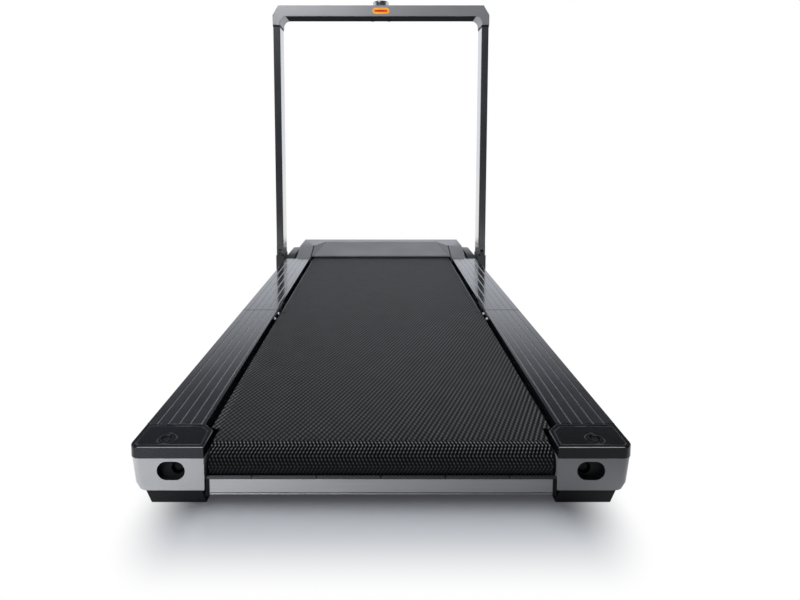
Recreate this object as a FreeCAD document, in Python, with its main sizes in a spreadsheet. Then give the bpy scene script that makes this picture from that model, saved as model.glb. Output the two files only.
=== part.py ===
import FreeCAD, Part
import math
import os
import re
import Sketcher

# Folding walking pad, millimetres. +Y is the walking direction, +Z is up, the floor is at Z = 0
# and the machine is centred on X = 0 and Y = 0.
SIZES = {
    # whole deck
    "deck_length": 1400, "rail_span": 700, "rail_width": 88, "foot_height": 19.3, "rail_height": 46,
    # tread strips on the rails
    "tread_height": 16.7, "tread_wall": 3, "tread_skin": 4, "tread_edge": 0.5,
    "groove_count": 5, "groove_inset": 6.7, "groove_end": 15.3, "groove_width": 3, "groove_depth": 1.2,
    # side rails
    "rail_wall": 2.5, "rail_inset": 1.5, "rail_outset": 1, "rail_draft": 4.4, "rail_lift": 0.2,
    "rail_chine_x": 10, "rail_chine_z": 7.5, "chine_share": 0.3, "rail_front_inset": 66,
    # fold across the deck
    "seam_inset": 582, "seam_gap": 2, "hinge_rise": 1, "knuckle_radius": 3.2,
    "knuckle_inset": 14, "knuckle_gap": 0.4, "hinge_pin_radius": 1.6, "leaf_length": 65, "leaf_thick": 4,
    "leaf_drop": 21, "leaf_sink": 1, "leaf_foot_length": 12, "leaf_foot_thick": 4, "leaf_screw_radius": 3.5,
    "leaf_screw_near": 17, "leaf_screw_far": 55, "leaf_screw_drop": 4.5, "leaf_screw_head": 4,
    # walking belt, rollers and deck boards
    "belt_side": 22, "belt_thick": 2, "belt_sink": 6, "belt_gap": 0.3,
    "roller_radius": 22.7, "roller_wall": 3, "roller_overhang": 2, "roller_web": 8, "axle_radius": 7.5,
    "rear_roller_inset": 29, "drive_roller_inset": 160, "board_thick": 14, "board_overhang": 13,
    "board_roller_gap": 35, "board_rear_gap": 3.5,
    # cross-members and cushions
    "cross_height": 22, "cross_depth": 40, "cross_wall": 2, "cross_drop": 29,
    "cross_first": 60, "cross_last": 45, "cushion_width": 28, "cushion_inset": 50,
    # rear end caps
    "cap_depth": 59, "cap_bulge": 17, "cap_flare": 17, "cap_corner": 14, "cap_joint": 0.5, "lid_bevel": 1.2,
    "key_slot_width": 38.8, "key_slot_height": 26.7, "key_slot_depth": 8, "key_slot_inset": 59,
    "key_slot_drop": 3.5, "key_hole_inset": 66, "key_hole_radius": 9.3, "key_hole_depth": 8,
    "adjuster_radius": 4, "adjuster_head": 6.5, "adjuster_head_depth": 5,
    "cap_screw_inset": 46, "cap_screw_back": 22, "cap_recess_radius": 7.5, "cap_recess_depth": 3,
    "cap_screw_radius": 5.5, "cap_screw_head": 2,
    "foot_inset": 2, "foot_top_inset": 22, "foot_base_inset": 30, "foot_toe": 2, "foot_heel": 5,
    # rear bar and its comb guard
    "bar_inset": 3, "bar_wall": 6, "bar_drop": 40, "bar_rise": 22, "bar_flange": 8, "bar_depth": 42,
    "bar_groove_rise": 1.6, "bar_groove_width": 1.2, "bar_groove_depth": 1,
    "guard_thick": 3, "guard_height": 4, "guard_notch": 2, "guard_pitch": 90, "guard_count": 5,
    # hood over the motor
    "hood_run": 236, "hood_rise": 27, "ramp_length": 98, "hood_side": 38, "hood_groove": 7,
    "hood_wall": 4, "nose_drop": 22, "nose_run": 6, "chin_rise": 7.5, "chin_run": 8, "nose_thick": 14,
    "hood_seat": 0.2, "flank_edge_rise": 5.5, "flank_top_drop": 16, "flank_nose_drop": 12,
    "slit_width": 3, "slit_over": 12,
    "lid_near_run": 200, "lid_far_run": 56, "lid_near_side": 7, "lid_far_side": 42,
    "lid_near_rise": 2, "lid_thick": 2.5, "lid_joint": 0.5, "wing_rise": 1.27, "sink_over": 6, "hood_skin": 3,
    # drive in the hood
    "tray_thick": 3, "tray_inset": 115, "tray_wall": 23.2, "motor_inset": 70, "motor_drop": 44,
    "motor_radius": 34, "motor_left": 60, "motor_right": 130, "motor_foot": 40, "motor_foot_inset": 20,
    "shaft_bite": 30, "shaft_end": 1,
    "shaft_radius": 5, "motor_pulley_radius": 13, "roller_pulley_radius": 27, "pulley_width": 11,
    "pulley_gap": 4, "drive_belt_thick": 2.5, "drive_belt_width": 9,
    "controller_side": 32, "controller_gap": 30, "controller_back": 10, "controller_depth": 70,
    "controller_height": 36, "fin_count": 5, "fin_inset": 6, "fin_pitch": 12, "fin_gap": 6, "fin_depth": 4,
    # power inlet and switch
    "inlet_side": 27, "inlet_width": 65, "inlet_rise": 13.5, "inlet_height": 26,
    "inlet_rim": 6, "inlet_depth": 24, "inlet_sink": 0.6,
    "socket_width": 28, "socket_height": 20, "socket_depth": 16, "blade_length": 8, "blade_width": 2,
    "blade_height": 4, "blade_pitch": 7, "blade_step": 4,
    "rocker_width": 18, "rocker_height": 20, "rocker_pocket": 14, "rocker_sink": 3.5, "rocker_pin": 1.5,
    "rocker_pin_end": 2.5,
    # front feet and transport wheels
    "pad_width": 40, "pad_length": 34, "pad_inset": 13, "pad_front_run": 110, "pad_seam_gap": 30,
    "wheel_inset": 38, "wheel_rise": 9.5, "wheel_radius": 21, "wheel_width": 22,
    "wheel_axle": 4, "wheel_axle_end": 8, "wheel_axle_inner": 3,
    # gantry
    "gantry_run": 248, "upright_gap": 6.5, "upright_width": 24, "upright_depth": 70, "upright_wall": 2,
    "base_rise": 13.3, "base_lift": 8, "base_flange_drop": 2.3, "base_proud": 2.5, "base_gap": 0.7,
    "gantry_pin_inset": 10, "gantry_pin_radius": 4, "lug_thick": 12, "lug_side": 0.3, "lug_clear": 0.5,
    "upright_foot_rise": 37.7, "lug_slot": 12,
    "bar_crown": 987, "bar_height": 37, "leg_drop": 67, "bar_proud": 1, "bar_fore": 3, "bar_deep": 78,
    "bar_chamfer_x": 20, "bar_chamfer_z": 33, "bar_corner": 24, "bar_skin": 3,
    # control unit on the gantry
    "display_width": 60, "display_height": 21, "display_drop": 19, "display_rim": 6.5, "display_proud": 0.8,
    "display_fit": 0.2, "control_screw_x": 30, "control_screw_inset": 12, "control_screw_radius": 5,
    "control_screw_head": 3,
    "knob_radius": 28.5, "knob_height": 18, "knob_gap": 2, "knob_edge": 2.5, "knob_cap": 3.7,
    "stem_radius": 6, "stem_flange": 9, "stem_flange_thick": 2.7,
    # fits
    "running_fit": 0.1, "screw_fit": 0.2, "side_gap": 0.3,
}

# Places worked out from the sizes.
PLACES = {
    "rear": "-deck_length / 2",
    "front": "deck_length / 2",
    "rail_out": "rail_span / 2",
    "rail_in": "rail_span / 2 - rail_width",
    "rail_floor": "foot_height + rail_lift",
    "tread_base": "foot_height + rail_height",
    "deck_height": "foot_height + rail_height + tread_height",
    "groove_pitch": "(rail_width - groove_inset - groove_end) / (groove_count - 1)",
    "beam_in": "rail_in + rail_inset",
    "beam_out": "rail_out - rail_outset",
    "chine_x": "beam_out - rail_draft",
    "chine_z": "rail_floor + rail_chine_z",
    "seam": "rear + seam_inset",
    "seam_rear": "seam - seam_gap / 2",
    "seam_front": "seam + seam_gap / 2",
    "hinge_z": "deck_height + hinge_rise",
    "belt_half": "rail_in - belt_side",
    "belt_top": "deck_height - belt_sink",
    "loop_inner": "roller_radius + belt_gap",
    "loop_outer": "roller_radius + belt_gap + belt_thick",
    "roller_z": "belt_top - loop_outer",
    "rear_roller_y": "rear + rear_roller_inset",
    "drive_roller_y": "front - drive_roller_inset",
    "roller_half": "belt_half + roller_overhang",
    "board_top": "belt_top - belt_thick - belt_gap",
    "board_base": "board_top - board_thick",
    "board_half": "belt_half + board_overhang",
    "board_rear_y": "rear_roller_y + loop_outer + board_rear_gap",
    "board_front_y": "drive_roller_y - board_roller_gap",
    "rear_cross_run": "seam - cross_first - board_rear_y - cross_last",
    "front_cross_run": "board_front_y - cross_last - seam - cross_first",
    "cross_top": "deck_height - cross_drop",
    "cap_in": "rail_in - cap_bulge",
    "key_slot_x": "rail_out - key_slot_inset",
    "key_hole_x": "rail_out - key_hole_inset",
    "key_slot_z": "roller_z - key_slot_drop",
    "cap_screw_x": "rail_out - cap_screw_inset",
    "cap_screw_y": "rear + cap_screw_back",
    "foot_top_out": "rail_out - foot_top_inset",
    "foot_base_out": "rail_out - foot_base_inset",
    "bar_floor": "roller_z - bar_drop",
    "bar_top": "roller_z - bar_drop + bar_rise",
    "cap_front": "rear + cap_depth",
    "hood_y": "front - hood_run",
    "hood_half": "rail_out - hood_side",
    "hood_top": "deck_height + hood_rise",
    "hood_base": "tread_base + hood_seat",
    "nose_back": "front - nose_thick",
    "chin_z": "rail_floor + chin_rise",
    "flank_in": "hood_half + hood_groove",
    "flank_edge": "deck_height + flank_edge_rise",
    "flank_top": "hood_top - flank_top_drop",
    "lid_near_y": "front - lid_near_run",
    "lid_far_y": "front - lid_far_run",
    "lid_near_half": "rail_in - lid_near_side",
    "lid_far_half": "rail_in - lid_far_side",
    "lid_near_z": "deck_height + lid_near_rise",
    "rail_front": "front - rail_front_inset",
    "tray_y": "front - tray_inset",
    "tray_base": "rail_floor + side_gap",
    "tray_top": "rail_floor + side_gap + tray_thick",
    "motor_y": "front - motor_inset",
    "motor_z": "hood_top - motor_drop",
    "controller_x": "controller_side - rail_in",
    "controller_y": "tray_y + controller_back",
    "inlet_left": "inlet_side - rail_in",
    "inlet_z": "rail_floor + inlet_rise",
    "pulley_x": "belt_half + pulley_gap + roller_overhang - 1",
    "wheel_y": "front - wheel_inset",
    "wheel_z": "rail_floor + wheel_rise",
    "wheel_x": "(beam_in + flank_in - wheel_width) / 2",
    "gantry_y": "front - gantry_run",
    "base_top": "deck_height + base_rise",
    "base_floor": "rail_floor + base_lift",
    "base_flange_top": "tread_base - base_flange_drop",
    "upright_foot_top": "base_top + upright_foot_rise",
    "upright_in": "rail_out + upright_gap",
    "upright_out": "upright_in + upright_width",
    "upright_back": "gantry_y + upright_depth",
    "gantry_pin_y": "gantry_y + gantry_pin_inset",
    "gantry_pin_z": "base_top + base_gap + gantry_pin_inset",
    "lug_in": "upright_in + (upright_width - lug_thick) / 2",
    "leg_in": "upright_in - bar_proud",
    "leg_out": "upright_out + bar_proud",
    "bar_bottom": "bar_crown - bar_height",
    "leg_bottom": "bar_crown - leg_drop",
    "display_z": "bar_crown - display_drop",
    "bar_y": "gantry_y - bar_fore",
    "bar_back": "gantry_y - bar_fore + bar_deep",
    "knob_y": "gantry_y + upright_depth / 2",
    "knob_base": "bar_crown + knob_gap",
    "knob_top": "bar_crown + knob_gap + knob_height",
}

doc = FreeCAD.newDocument("walking_pad")
sheet = doc.addObject("Spreadsheet::Sheet", "Sizes")
for row, (size_name, size) in enumerate(SIZES.items(), 1):
    sheet.set(f"A{row}", size_name)
    sheet.set(f"B{row}", str(size))
    sheet.setAlias(f"B{row}", size_name)
doc.recompute()

nodes = []


def ex(text):
    """Write size and place names as references to the sheet's cells."""
    def swap(match):
        word = match.group(0)
        if word in SIZES:
            return "Sizes." + word
        if word in PLACES:
            return "(" + ex(PLACES[word]) + ")"
        return word
    return re.sub(r"[a-z][a-z_0-9]*", swap, str(text))


def val(text):
    """Value of a size expression in millimetres."""
    return float(sheet.evalExpression(ex(text)))


def node(label, piece):
    """Name a finished piece and keep it for the export."""
    piece.Label = label
    nodes.append(piece)
    return piece


# Part Design: bodies, outlines, pads and pockets


def new_body():
    return doc.addObject("PartDesign::Body", "Piece")


def outline(body, plane, at):
    """Empty sketch on one of the body's origin planes, moved along the plane's axis."""
    sketch = body.newObject("Sketcher::SketchObject", "Outline")
    base = next(f for f in body.Origin.OriginFeatures if f.Role == plane + "_Plane")
    sketch.AttachmentSupport = (base, [""])
    sketch.MapMode = "FlatFace"
    sign = "-1" if plane == "XZ" else "1"
    sketch.setExpression("AttachmentOffset.Base.z", ex(f"{sign} * ({at})"))
    return sketch


def pin_point(sketch, geometry, point, u, v):
    """Hold a sketch point at two size expressions."""
    for kind, text in (("DistanceX", u), ("DistanceY", v)):
        rule = sketch.addConstraint(Sketcher.Constraint(kind, -1, 1, geometry, point, val(text)))
        sketch.setExpression(f"Constraints[{rule}]", ex(text))


def add_loop(sketch, points):
    """Closed loop of straight lines through the given points."""
    spots = [FreeCAD.Vector(val(u), val(v), 0) for u, v in points]
    first = sketch.GeometryCount
    count = len(points)
    for i in range(count):
        sketch.addGeometry(Part.LineSegment(spots[i], spots[(i + 1) % count]), False)
    for i, (u, v) in enumerate(points):
        sketch.addConstraint(Sketcher.Constraint("Coincident", first + i, 2, first + (i + 1) % count, 1))
        pin_point(sketch, first + i, 1, u, v)


def add_circle(sketch, u, v, radius):
    middle = FreeCAD.Vector(val(u), val(v), 0)
    ring = sketch.addGeometry(Part.Circle(middle, FreeCAD.Vector(0, 0, 1), val(radius)), False)
    pin_point(sketch, ring, 3, u, v)
    rule = sketch.addConstraint(Sketcher.Constraint("Radius", ring, val(radius)))
    sketch.setExpression(f"Constraints[{rule}]", ex(radius))


def add_slot(sketch, u_low, u_high, v, radius):
    """Loop with two straight sides and two round ends, its length along the first direction."""
    low, high, mid, r = val(u_low), val(u_high), val(v), val(radius)
    up = FreeCAD.Vector(0, 0, 1)
    round_low = Part.Circle(FreeCAD.Vector(low, mid, 0), up, r)
    round_high = Part.Circle(FreeCAD.Vector(high, mid, 0), up, r)
    a = sketch.addGeometry(Part.ArcOfCircle(round_low, math.pi / 2, 3 * math.pi / 2), False)
    b = sketch.addGeometry(Part.ArcOfCircle(round_high, -math.pi / 2, math.pi / 2), False)
    below = sketch.addGeometry(
        Part.LineSegment(FreeCAD.Vector(low, mid - r, 0), FreeCAD.Vector(high, mid - r, 0)), False)
    above = sketch.addGeometry(
        Part.LineSegment(FreeCAD.Vector(high, mid + r, 0), FreeCAD.Vector(low, mid + r, 0)), False)
    for one, end_one, two, end_two in ((a, 2, below, 1), (below, 2, b, 1), (b, 2, above, 1), (above, 2, a, 1)):
        sketch.addConstraint(Sketcher.Constraint("Tangent", one, end_one, two, end_two))
    pin_point(sketch, a, 3, u_low, v)
    rule = sketch.addConstraint(Sketcher.Constraint("DistanceX", -1, 1, b, 3, high))
    sketch.setExpression(f"Constraints[{rule}]", ex(u_high))
    sketch.addConstraint(Sketcher.Constraint("Horizontal", below))
    rule = sketch.addConstraint(Sketcher.Constraint("Radius", a, r))
    sketch.setExpression(f"Constraints[{rule}]", ex(radius))


def pad(body, sketch, length):
    """Add the outline's solid towards + along its plane's axis."""
    feature = body.newObject("PartDesign::Pad", "Pad")
    feature.Profile = sketch
    feature.setExpression("Length", ex(length))
    feature.Reversed = sketch.AttachmentSupport[0][0].Role == "XZ_Plane"
    doc.recompute()
    return feature


def pocket(body, sketch, length):
    """Cut the outline's solid towards + along its plane's axis, making sure that it cuts."""
    before = body.Shape.Volume
    feature = body.newObject("PartDesign::Pocket", "Pocket")
    feature.Profile = sketch
    feature.setExpression("Length", ex(length))
    feature.Reversed = sketch.AttachmentSupport[0][0].Role != "XZ_Plane"
    doc.recompute()
    if body.Shape.Volume > before - 1e-3:
        raise RuntimeError("a pocket cuts nothing")
    return feature


def edges_where(body, test):
    """Names of the body's edges whose middle and direction pass a test."""
    found = []
    for i, edge in enumerate(body.Shape.Edges, 1):
        middle = edge.valueAt((edge.FirstParameter + edge.LastParameter) / 2)
        along = edge.tangentAt(edge.FirstParameter)
        if test(middle, along):
            found.append(f"Edge{i}")
    return found


def round_edges(body, radius, test, kind="Fillet"):
    """Fillet or chamfer the edges that pass a test."""
    feature = body.newObject("PartDesign::" + kind, kind)
    feature.Base = (body.Tip if body.Tip != feature else body.Group[-2], edges_where(body, test))
    feature.setExpression("Radius" if kind == "Fillet" else "Size", ex(radius))
    doc.recompute()
    return feature


def near(number, text, slack=0.05):
    return abs(number - val(text)) < slack


# Part: blocks, rods and booleans


def block(x0, x1, y0, y1, z0, z1):
    piece = doc.addObject("Part::Box", "Block")
    for size, place, low, high in (
            ("Length", "x", x0, x1), ("Width", "y", y0, y1), ("Height", "z", z0, z1)):
        piece.setExpression(size, ex(f"({high}) - ({low})"))
        piece.setExpression(f"Placement.Base.{place}", ex(low))
    doc.recompute()
    return piece


def rod(axis, radius, low, high, u, v):
    """Cylinder along an axis, u and v being its place on the other two axes in order."""
    piece = doc.addObject("Part::Cylinder", "Rod")
    turn = {"x": FreeCAD.Rotation(FreeCAD.Vector(0, 1, 0), 90),
            "y": FreeCAD.Rotation(FreeCAD.Vector(1, 0, 0), -90), "z": FreeCAD.Rotation()}[axis]
    piece.Placement = FreeCAD.Placement(FreeCAD.Vector(), turn)
    piece.setExpression("Radius", ex(radius))
    piece.setExpression("Height", ex(f"({high}) - ({low})"))
    places = {"x": (low, u, v), "y": (u, low, v), "z": (u, v, low)}[axis]
    for place, text in zip("xyz", places):
        piece.setExpression(f"Placement.Base.{place}", ex(text))
    doc.recompute()
    return piece


def hexagon(axis, radius, low, high, u, v):
    """Six-sided head along X or Y, its corners at a radius."""
    piece = doc.addObject("Part::Prism", "Hexagon")
    piece.Polygon = 6
    turn = {"x": FreeCAD.Rotation(FreeCAD.Vector(0, 1, 0), 90),
            "y": FreeCAD.Rotation(FreeCAD.Vector(1, 0, 0), -90)}[axis]
    piece.Placement = FreeCAD.Placement(FreeCAD.Vector(), turn)
    piece.setExpression("Circumradius", ex(radius))
    piece.setExpression("Height", ex(f"({high}) - ({low})"))
    for place, text in zip("xyz", (low, u, v) if axis == "x" else (u, low, v)):
        piece.setExpression(f"Placement.Base.{place}", ex(text))
    doc.recompute()
    return piece


def cut(base, *tools):
    for tool in tools:
        piece = doc.addObject("Part::Cut", "Cut")
        piece.Base = base
        piece.Tool = tool
        doc.recompute()
        if piece.Shape.Volume > base.Shape.Volume - 1e-3:
            raise RuntimeError("a cut takes nothing away")
        base = piece
    return base


def fuse(*pieces):
    joined = doc.addObject("Part::MultiFuse", "Fuse")
    joined.Shapes = list(pieces)
    doc.recompute()
    return joined


def group(*pieces):
    held = doc.addObject("Part::Compound", "Group")
    held.Links = list(pieces)
    doc.recompute()
    return held


def mirror(piece):
    """Left-hand copy of a right-hand piece."""
    copy = doc.addObject("Part::Mirroring", "Mirror")
    copy.Source = piece
    copy.Normal = FreeCAD.Vector(1, 0, 0)
    doc.recompute()
    return copy


def both_sides(name, piece):
    node("right_" + name, piece)
    node("left_" + name, mirror(piece))


def solid_from(shape, name):
    """Document object for a shape that is worked out in code."""
    piece = doc.addObject("Part::Feature", name)
    piece.Shape = shape
    piece.Placement = FreeCAD.Placement()
    return piece


# Side rails: drafted hollow extrusions


def side_rail(y0, y1):
    body = new_body()
    sketch = outline(body, "XZ", y0)
    add_loop(sketch, [
        ("beam_in", "rail_floor"), ("chine_x - rail_chine_x", "rail_floor"),
        ("chine_x - rail_chine_x * chine_share", "rail_floor + rail_chine_z * chine_share"),
        ("chine_x", "chine_z"), ("beam_out", "tread_base"), ("beam_in", "tread_base")])
    add_loop(sketch, [
        ("beam_in + rail_wall", "rail_floor + rail_wall"),
        ("chine_x - rail_chine_x - rail_wall * 0.4", "rail_floor + rail_wall"),
        ("chine_x - rail_wall", "chine_z + rail_wall * 0.5"),
        ("beam_out - rail_wall * 1.25", "tread_base - rail_wall"),
        ("beam_in + rail_wall", "tread_base - rail_wall")])
    pad(body, sketch, f"({y1}) - ({y0})")
    return body


both_sides("rear_rail", side_rail("cap_front + cap_joint", "seam_rear"))
both_sides("front_rail", side_rail("seam_front", "rail_front"))


# Tread strips: channels with lengthwise grooves in the top


def tread_strip(y0, y1):
    body = new_body()
    sketch = outline(body, "XZ", y0)
    add_loop(sketch, [
        ("rail_in", "tread_base"), ("rail_in + tread_wall", "tread_base"),
        ("rail_in + tread_wall", "deck_height - tread_skin"),
        ("rail_out - tread_wall", "deck_height - tread_skin"),
        ("rail_out - tread_wall", "tread_base"), ("rail_out", "tread_base"),
        ("rail_out", "deck_height - 2 * tread_edge"), ("rail_out - 2 * tread_edge", "deck_height"),
        ("rail_in + tread_edge", "deck_height"), ("rail_in", "deck_height - tread_edge")])
    pad(body, sketch, f"({y1}) - ({y0})")
    groove = outline(body, "XZ", y0)
    middle = "rail_in + groove_inset"
    add_loop(groove, [
        (f"{middle} - groove_width / 2", "deck_height + 0.01"), (middle, "deck_height - groove_depth"),
        (f"{middle} + groove_width / 2", "deck_height + 0.01")])
    first = pocket(body, groove, f"({y1}) - ({y0})")
    rows = body.newObject("PartDesign::LinearPattern", "Grooves")
    rows.Originals = [first]
    rows.Direction = (groove, ["H_Axis"])
    rows.setExpression("Length", ex("groove_pitch * (groove_count - 1)"))
    rows.setExpression("Occurrences", ex("groove_count"))
    body.Tip = rows
    doc.recompute()
    return body


both_sides("rear_tread", tread_strip("cap_front + cap_joint", "seam_rear"))
both_sides("front_tread", tread_strip("seam_front", "hood_y - cap_joint"))

# Rear end caps with the belt adjuster's recess

cap = new_body()
sketch = outline(cap, "XZ", "rear")
add_loop(sketch, [
    ("cap_in", "foot_height"), ("chine_x - rail_chine_x", "foot_height"),
    ("chine_x - rail_chine_x * chine_share", "foot_height + (chine_z - foot_height) * chine_share"),
    ("chine_x", "chine_z"), ("beam_out", "tread_base"), ("cap_in", "tread_base")])
pad(cap, sketch, "cap_depth")
sketch = outline(cap, "XY", "foot_height")
add_loop(sketch, [
    ("cap_in", "cap_front - cap_flare"), ("cap_in + cap_flare", "cap_front"), ("cap_in", "cap_front")])
pocket(cap, sketch, "tread_base - foot_height")
round_edges(cap, "cap_corner", lambda m, d: near(m.y, "rear") and m.x > val("chine_x - rail_chine_x + 1")
            and abs(d.z) > 0.5)
sketch = outline(cap, "XZ", "rear")
add_slot(sketch, "key_slot_x - (key_slot_width - key_slot_height) / 2",
         "key_slot_x + (key_slot_width - key_slot_height) / 2", "key_slot_z", "key_slot_height / 2")
pocket(cap, sketch, "key_slot_depth")
sketch = outline(cap, "XZ", "rear")
add_circle(sketch, "key_hole_x", "key_slot_z", "key_hole_radius")
pocket(cap, sketch, "key_slot_depth + key_hole_depth")
sketch = outline(cap, "XZ", "rear")
add_circle(sketch, "key_hole_x", "key_slot_z", "adjuster_radius + screw_fit")
pocket(cap, sketch, "rear_roller_inset")
sketch = outline(cap, "YZ", "cap_in")
add_circle(sketch, "rear_roller_y", "roller_z", "axle_radius + running_fit")
pocket(cap, sketch, "key_hole_x + key_hole_radius - cap_in")
both_sides("end_cap", cap)

lid = new_body()
sketch = outline(lid, "XY", "tread_base")
add_loop(sketch, [
    ("cap_in", "rear"), ("rail_out", "rear"), ("rail_out", "cap_front"), ("rail_in", "cap_front"),
    ("cap_in", "cap_front - cap_flare")])
pad(lid, sketch, "tread_height")
round_edges(lid, "cap_corner", lambda m, d: near(m.y, "rear") and near(m.x, "rail_out") and abs(d.z) > 0.9)
round_edges(lid, "lid_bevel", lambda m, d: near(m.z, "deck_height"), "Chamfer")
sketch = outline(lid, "XY", "deck_height - cap_recess_depth")
add_circle(sketch, "cap_screw_x", "cap_screw_y", "cap_recess_radius")
pocket(lid, sketch, "cap_recess_depth")
node("cap_lids", group(lid, mirror(lid)))

seat = "deck_height - cap_recess_depth"
screw = rod("z", "cap_screw_radius", seat, f"{seat} + cap_screw_head", "cap_screw_x", "cap_screw_y")
node("cap_screws", group(screw, mirror(screw)))

adjuster = fuse(
    hexagon("y", "adjuster_head", "rear + key_slot_depth + key_hole_depth - adjuster_head_depth",
            "rear + key_slot_depth + key_hole_depth", "key_hole_x", "key_slot_z"),
    rod("y", "adjuster_radius", "rear + key_slot_depth + key_hole_depth",
        "rear_roller_y - axle_radius", "key_hole_x", "key_slot_z"))
node("tension_screws", group(adjuster, mirror(adjuster)))

foot = new_body()
sketch = outline(foot, "XZ", "rear + foot_inset")
add_loop(sketch, [
    ("cap_in - foot_toe", "0"), ("foot_base_out", "0"), ("foot_top_out", "foot_height"),
    ("cap_in + foot_heel", "foot_height")])
pad(foot, sketch, "cap_depth - cap_flare - foot_inset")
node("rear_feet", group(foot, mirror(foot)))

# Rear bar between the caps and the comb guard on it

bar = new_body()
sketch = outline(bar, "YZ", "-(cap_in - side_gap)")
add_loop(sketch, [
    ("rear + bar_inset", "bar_floor"), ("rear + bar_inset + bar_depth", "bar_floor"),
    ("rear + bar_inset + bar_depth", "bar_floor + bar_flange"),
    ("rear + bar_inset + bar_wall", "bar_floor + bar_flange"),
    ("rear + bar_inset + bar_wall", "bar_top"), ("rear + bar_inset", "bar_top"),
    ("rear + bar_inset", "bar_floor + bar_groove_rise + bar_groove_width"),
    ("rear + bar_inset + bar_groove_depth", "bar_floor + bar_groove_rise + bar_groove_width"),
    ("rear + bar_inset + bar_groove_depth", "bar_floor + bar_groove_rise"),
    ("rear + bar_inset", "bar_floor + bar_groove_rise")])
pad(bar, sketch, "2 * (cap_in - side_gap)")
node("rear_bar", bar)

guard = new_body()
sketch = outline(guard, "YZ", "-(cap_in - side_gap)")
guard_y = "rear + bar_inset + side_gap"
add_loop(sketch, [
    (guard_y, "bar_top"), (f"{guard_y} + guard_thick", "bar_top"),
    (f"{guard_y} + guard_thick", "bar_top + guard_height"), (guard_y, "bar_top + guard_height")])
pad(guard, sketch, "2 * (cap_in - side_gap)")
sketch = outline(guard, "XZ", guard_y)
notch = "-guard_pitch * (guard_count - 1) / 2"
add_loop(sketch, [
    (f"{notch} - guard_notch / 2", "bar_top + guard_height / 4"),
    (f"{notch} + guard_notch / 2", "bar_top + guard_height / 4"),
    (f"{notch} + guard_notch / 2", "bar_top + guard_height"),
    (f"{notch} - guard_notch / 2", "bar_top + guard_height")])
first = pocket(guard, sketch, "guard_thick")
comb = guard.newObject("PartDesign::LinearPattern", "Comb")
comb.Originals = [first]
comb.Direction = (sketch, ["H_Axis"])
comb.setExpression("Length", ex("guard_pitch * (guard_count - 1)"))
comb.setExpression("Occurrences", ex("guard_count"))
guard.Tip = comb
doc.recompute()
node("rear_guard", guard)

# Rollers, axles and walking belt


def roller(y):
    shell = rod("x", "roller_radius", "-roller_half", "roller_half", y, "roller_z")
    side = "(roller_radius - roller_wall) * 0.7"
    hollow = block("roller_web - roller_half", "roller_half - roller_web", f"{y} - {side}", f"{y} + {side}",
                   f"roller_z - {side}", f"roller_z + {side}")
    bore = rod("x", "axle_radius + running_fit", "-roller_half - 1", "roller_half + 1", y, "roller_z")
    return cut(shell, fuse(hollow, bore))


node("rear_roller", roller("rear_roller_y"))
node("drive_roller", roller("drive_roller_y"))
axle_end = "key_hole_x + key_hole_radius - 1"
node("rear_axle", rod("x", "axle_radius", f"-({axle_end})", axle_end, "rear_roller_y", "roller_z"))
node("front_axle", rod("x", "axle_radius", "-beam_in", "beam_in", "drive_roller_y", "roller_z"))

belt = new_body()
sketch = outline(belt, "YZ", "-belt_half")
add_slot(sketch, "rear_roller_y", "drive_roller_y", "roller_z", "loop_outer")
add_slot(sketch, "rear_roller_y", "drive_roller_y", "roller_z", "loop_inner")
pad(belt, sketch, "2 * belt_half")
node("walking_belt", belt)

# Deck boards, cross-members and cushions

node("rear_deck_board", block("-board_half", "board_half", "board_rear_y", "seam_rear",
                              "board_base", "board_top"))
node("front_deck_board", block("-board_half", "board_half", "seam_front", "board_front_y",
                               "board_base", "board_top"))


def cross_member(y):
    shell = block("-beam_in", "beam_in", f"{y} - cross_depth / 2", f"{y} + cross_depth / 2",
                  "cross_top - cross_height", "cross_top")
    hollow = block("-beam_in - 1", "beam_in + 1", f"{y} - cross_depth / 2 + cross_wall",
                   f"{y} + cross_depth / 2 - cross_wall", "cross_top - cross_height + cross_wall",
                   "cross_top - cross_wall")
    return cut(shell, hollow)


def cushion_pair(y):
    middle = "belt_half - cushion_inset"
    cushion = block(f"{middle} - cushion_width / 2", f"{middle} + cushion_width / 2",
                    f"{y} - cushion_width / 2", f"{y} + cushion_width / 2", "cross_top", "board_base")
    return [cushion, mirror(cushion)]


rear_places = [f"seam - cross_first - {i} * rear_cross_run / 2" for i in range(3)]
front_places = [f"seam + cross_first + {i} * front_cross_run / 2" for i in range(3)]
for end, places in (("rear", rear_places), ("front", front_places)):
    node(end + "_crossmembers", group(*[cross_member(y) for y in places]))
    node(end + "_cushions", group(*[cushion for y in places for cushion in cushion_pair(y)]))

# Deck hinges: a leaf on each half, interleaved knuckles, pins and leaf screws


def hinge_leaf(way, x0, x1, bore):
    """Leaf for the half that lies towards way, with its knuckle between x0 and x1."""
    def span(near_seam, far):
        low, high = f"seam + {way} * ({near_seam})", f"seam + {way} * ({far})"
        return (low, high) if way > 0 else (high, low)
    plate = block("rail_in - leaf_thick", "rail_in", *span("seam_gap / 2", "seam_gap / 2 + leaf_length"),
                  "deck_height - leaf_drop", "deck_height - leaf_sink")
    step = block("belt_half + knuckle_inset", "rail_in - leaf_thick / 2",
                 *span("knuckle_radius + 1", "leaf_foot_length"),
                 "board_top + side_gap", "board_top + side_gap + leaf_foot_thick")
    web = block(x0, x1, *span("0", "knuckle_radius + 2"), "board_top + side_gap", "hinge_z")
    barrel = rod("x", "knuckle_radius", x0, x1, "seam", "hinge_z")
    hole = rod("x", f"hinge_pin_radius + {bore}", f"{x0} - 1", f"{x1} + 1", "seam", "hinge_z")
    return cut(fuse(plate, step, web, barrel), hole)


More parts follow.
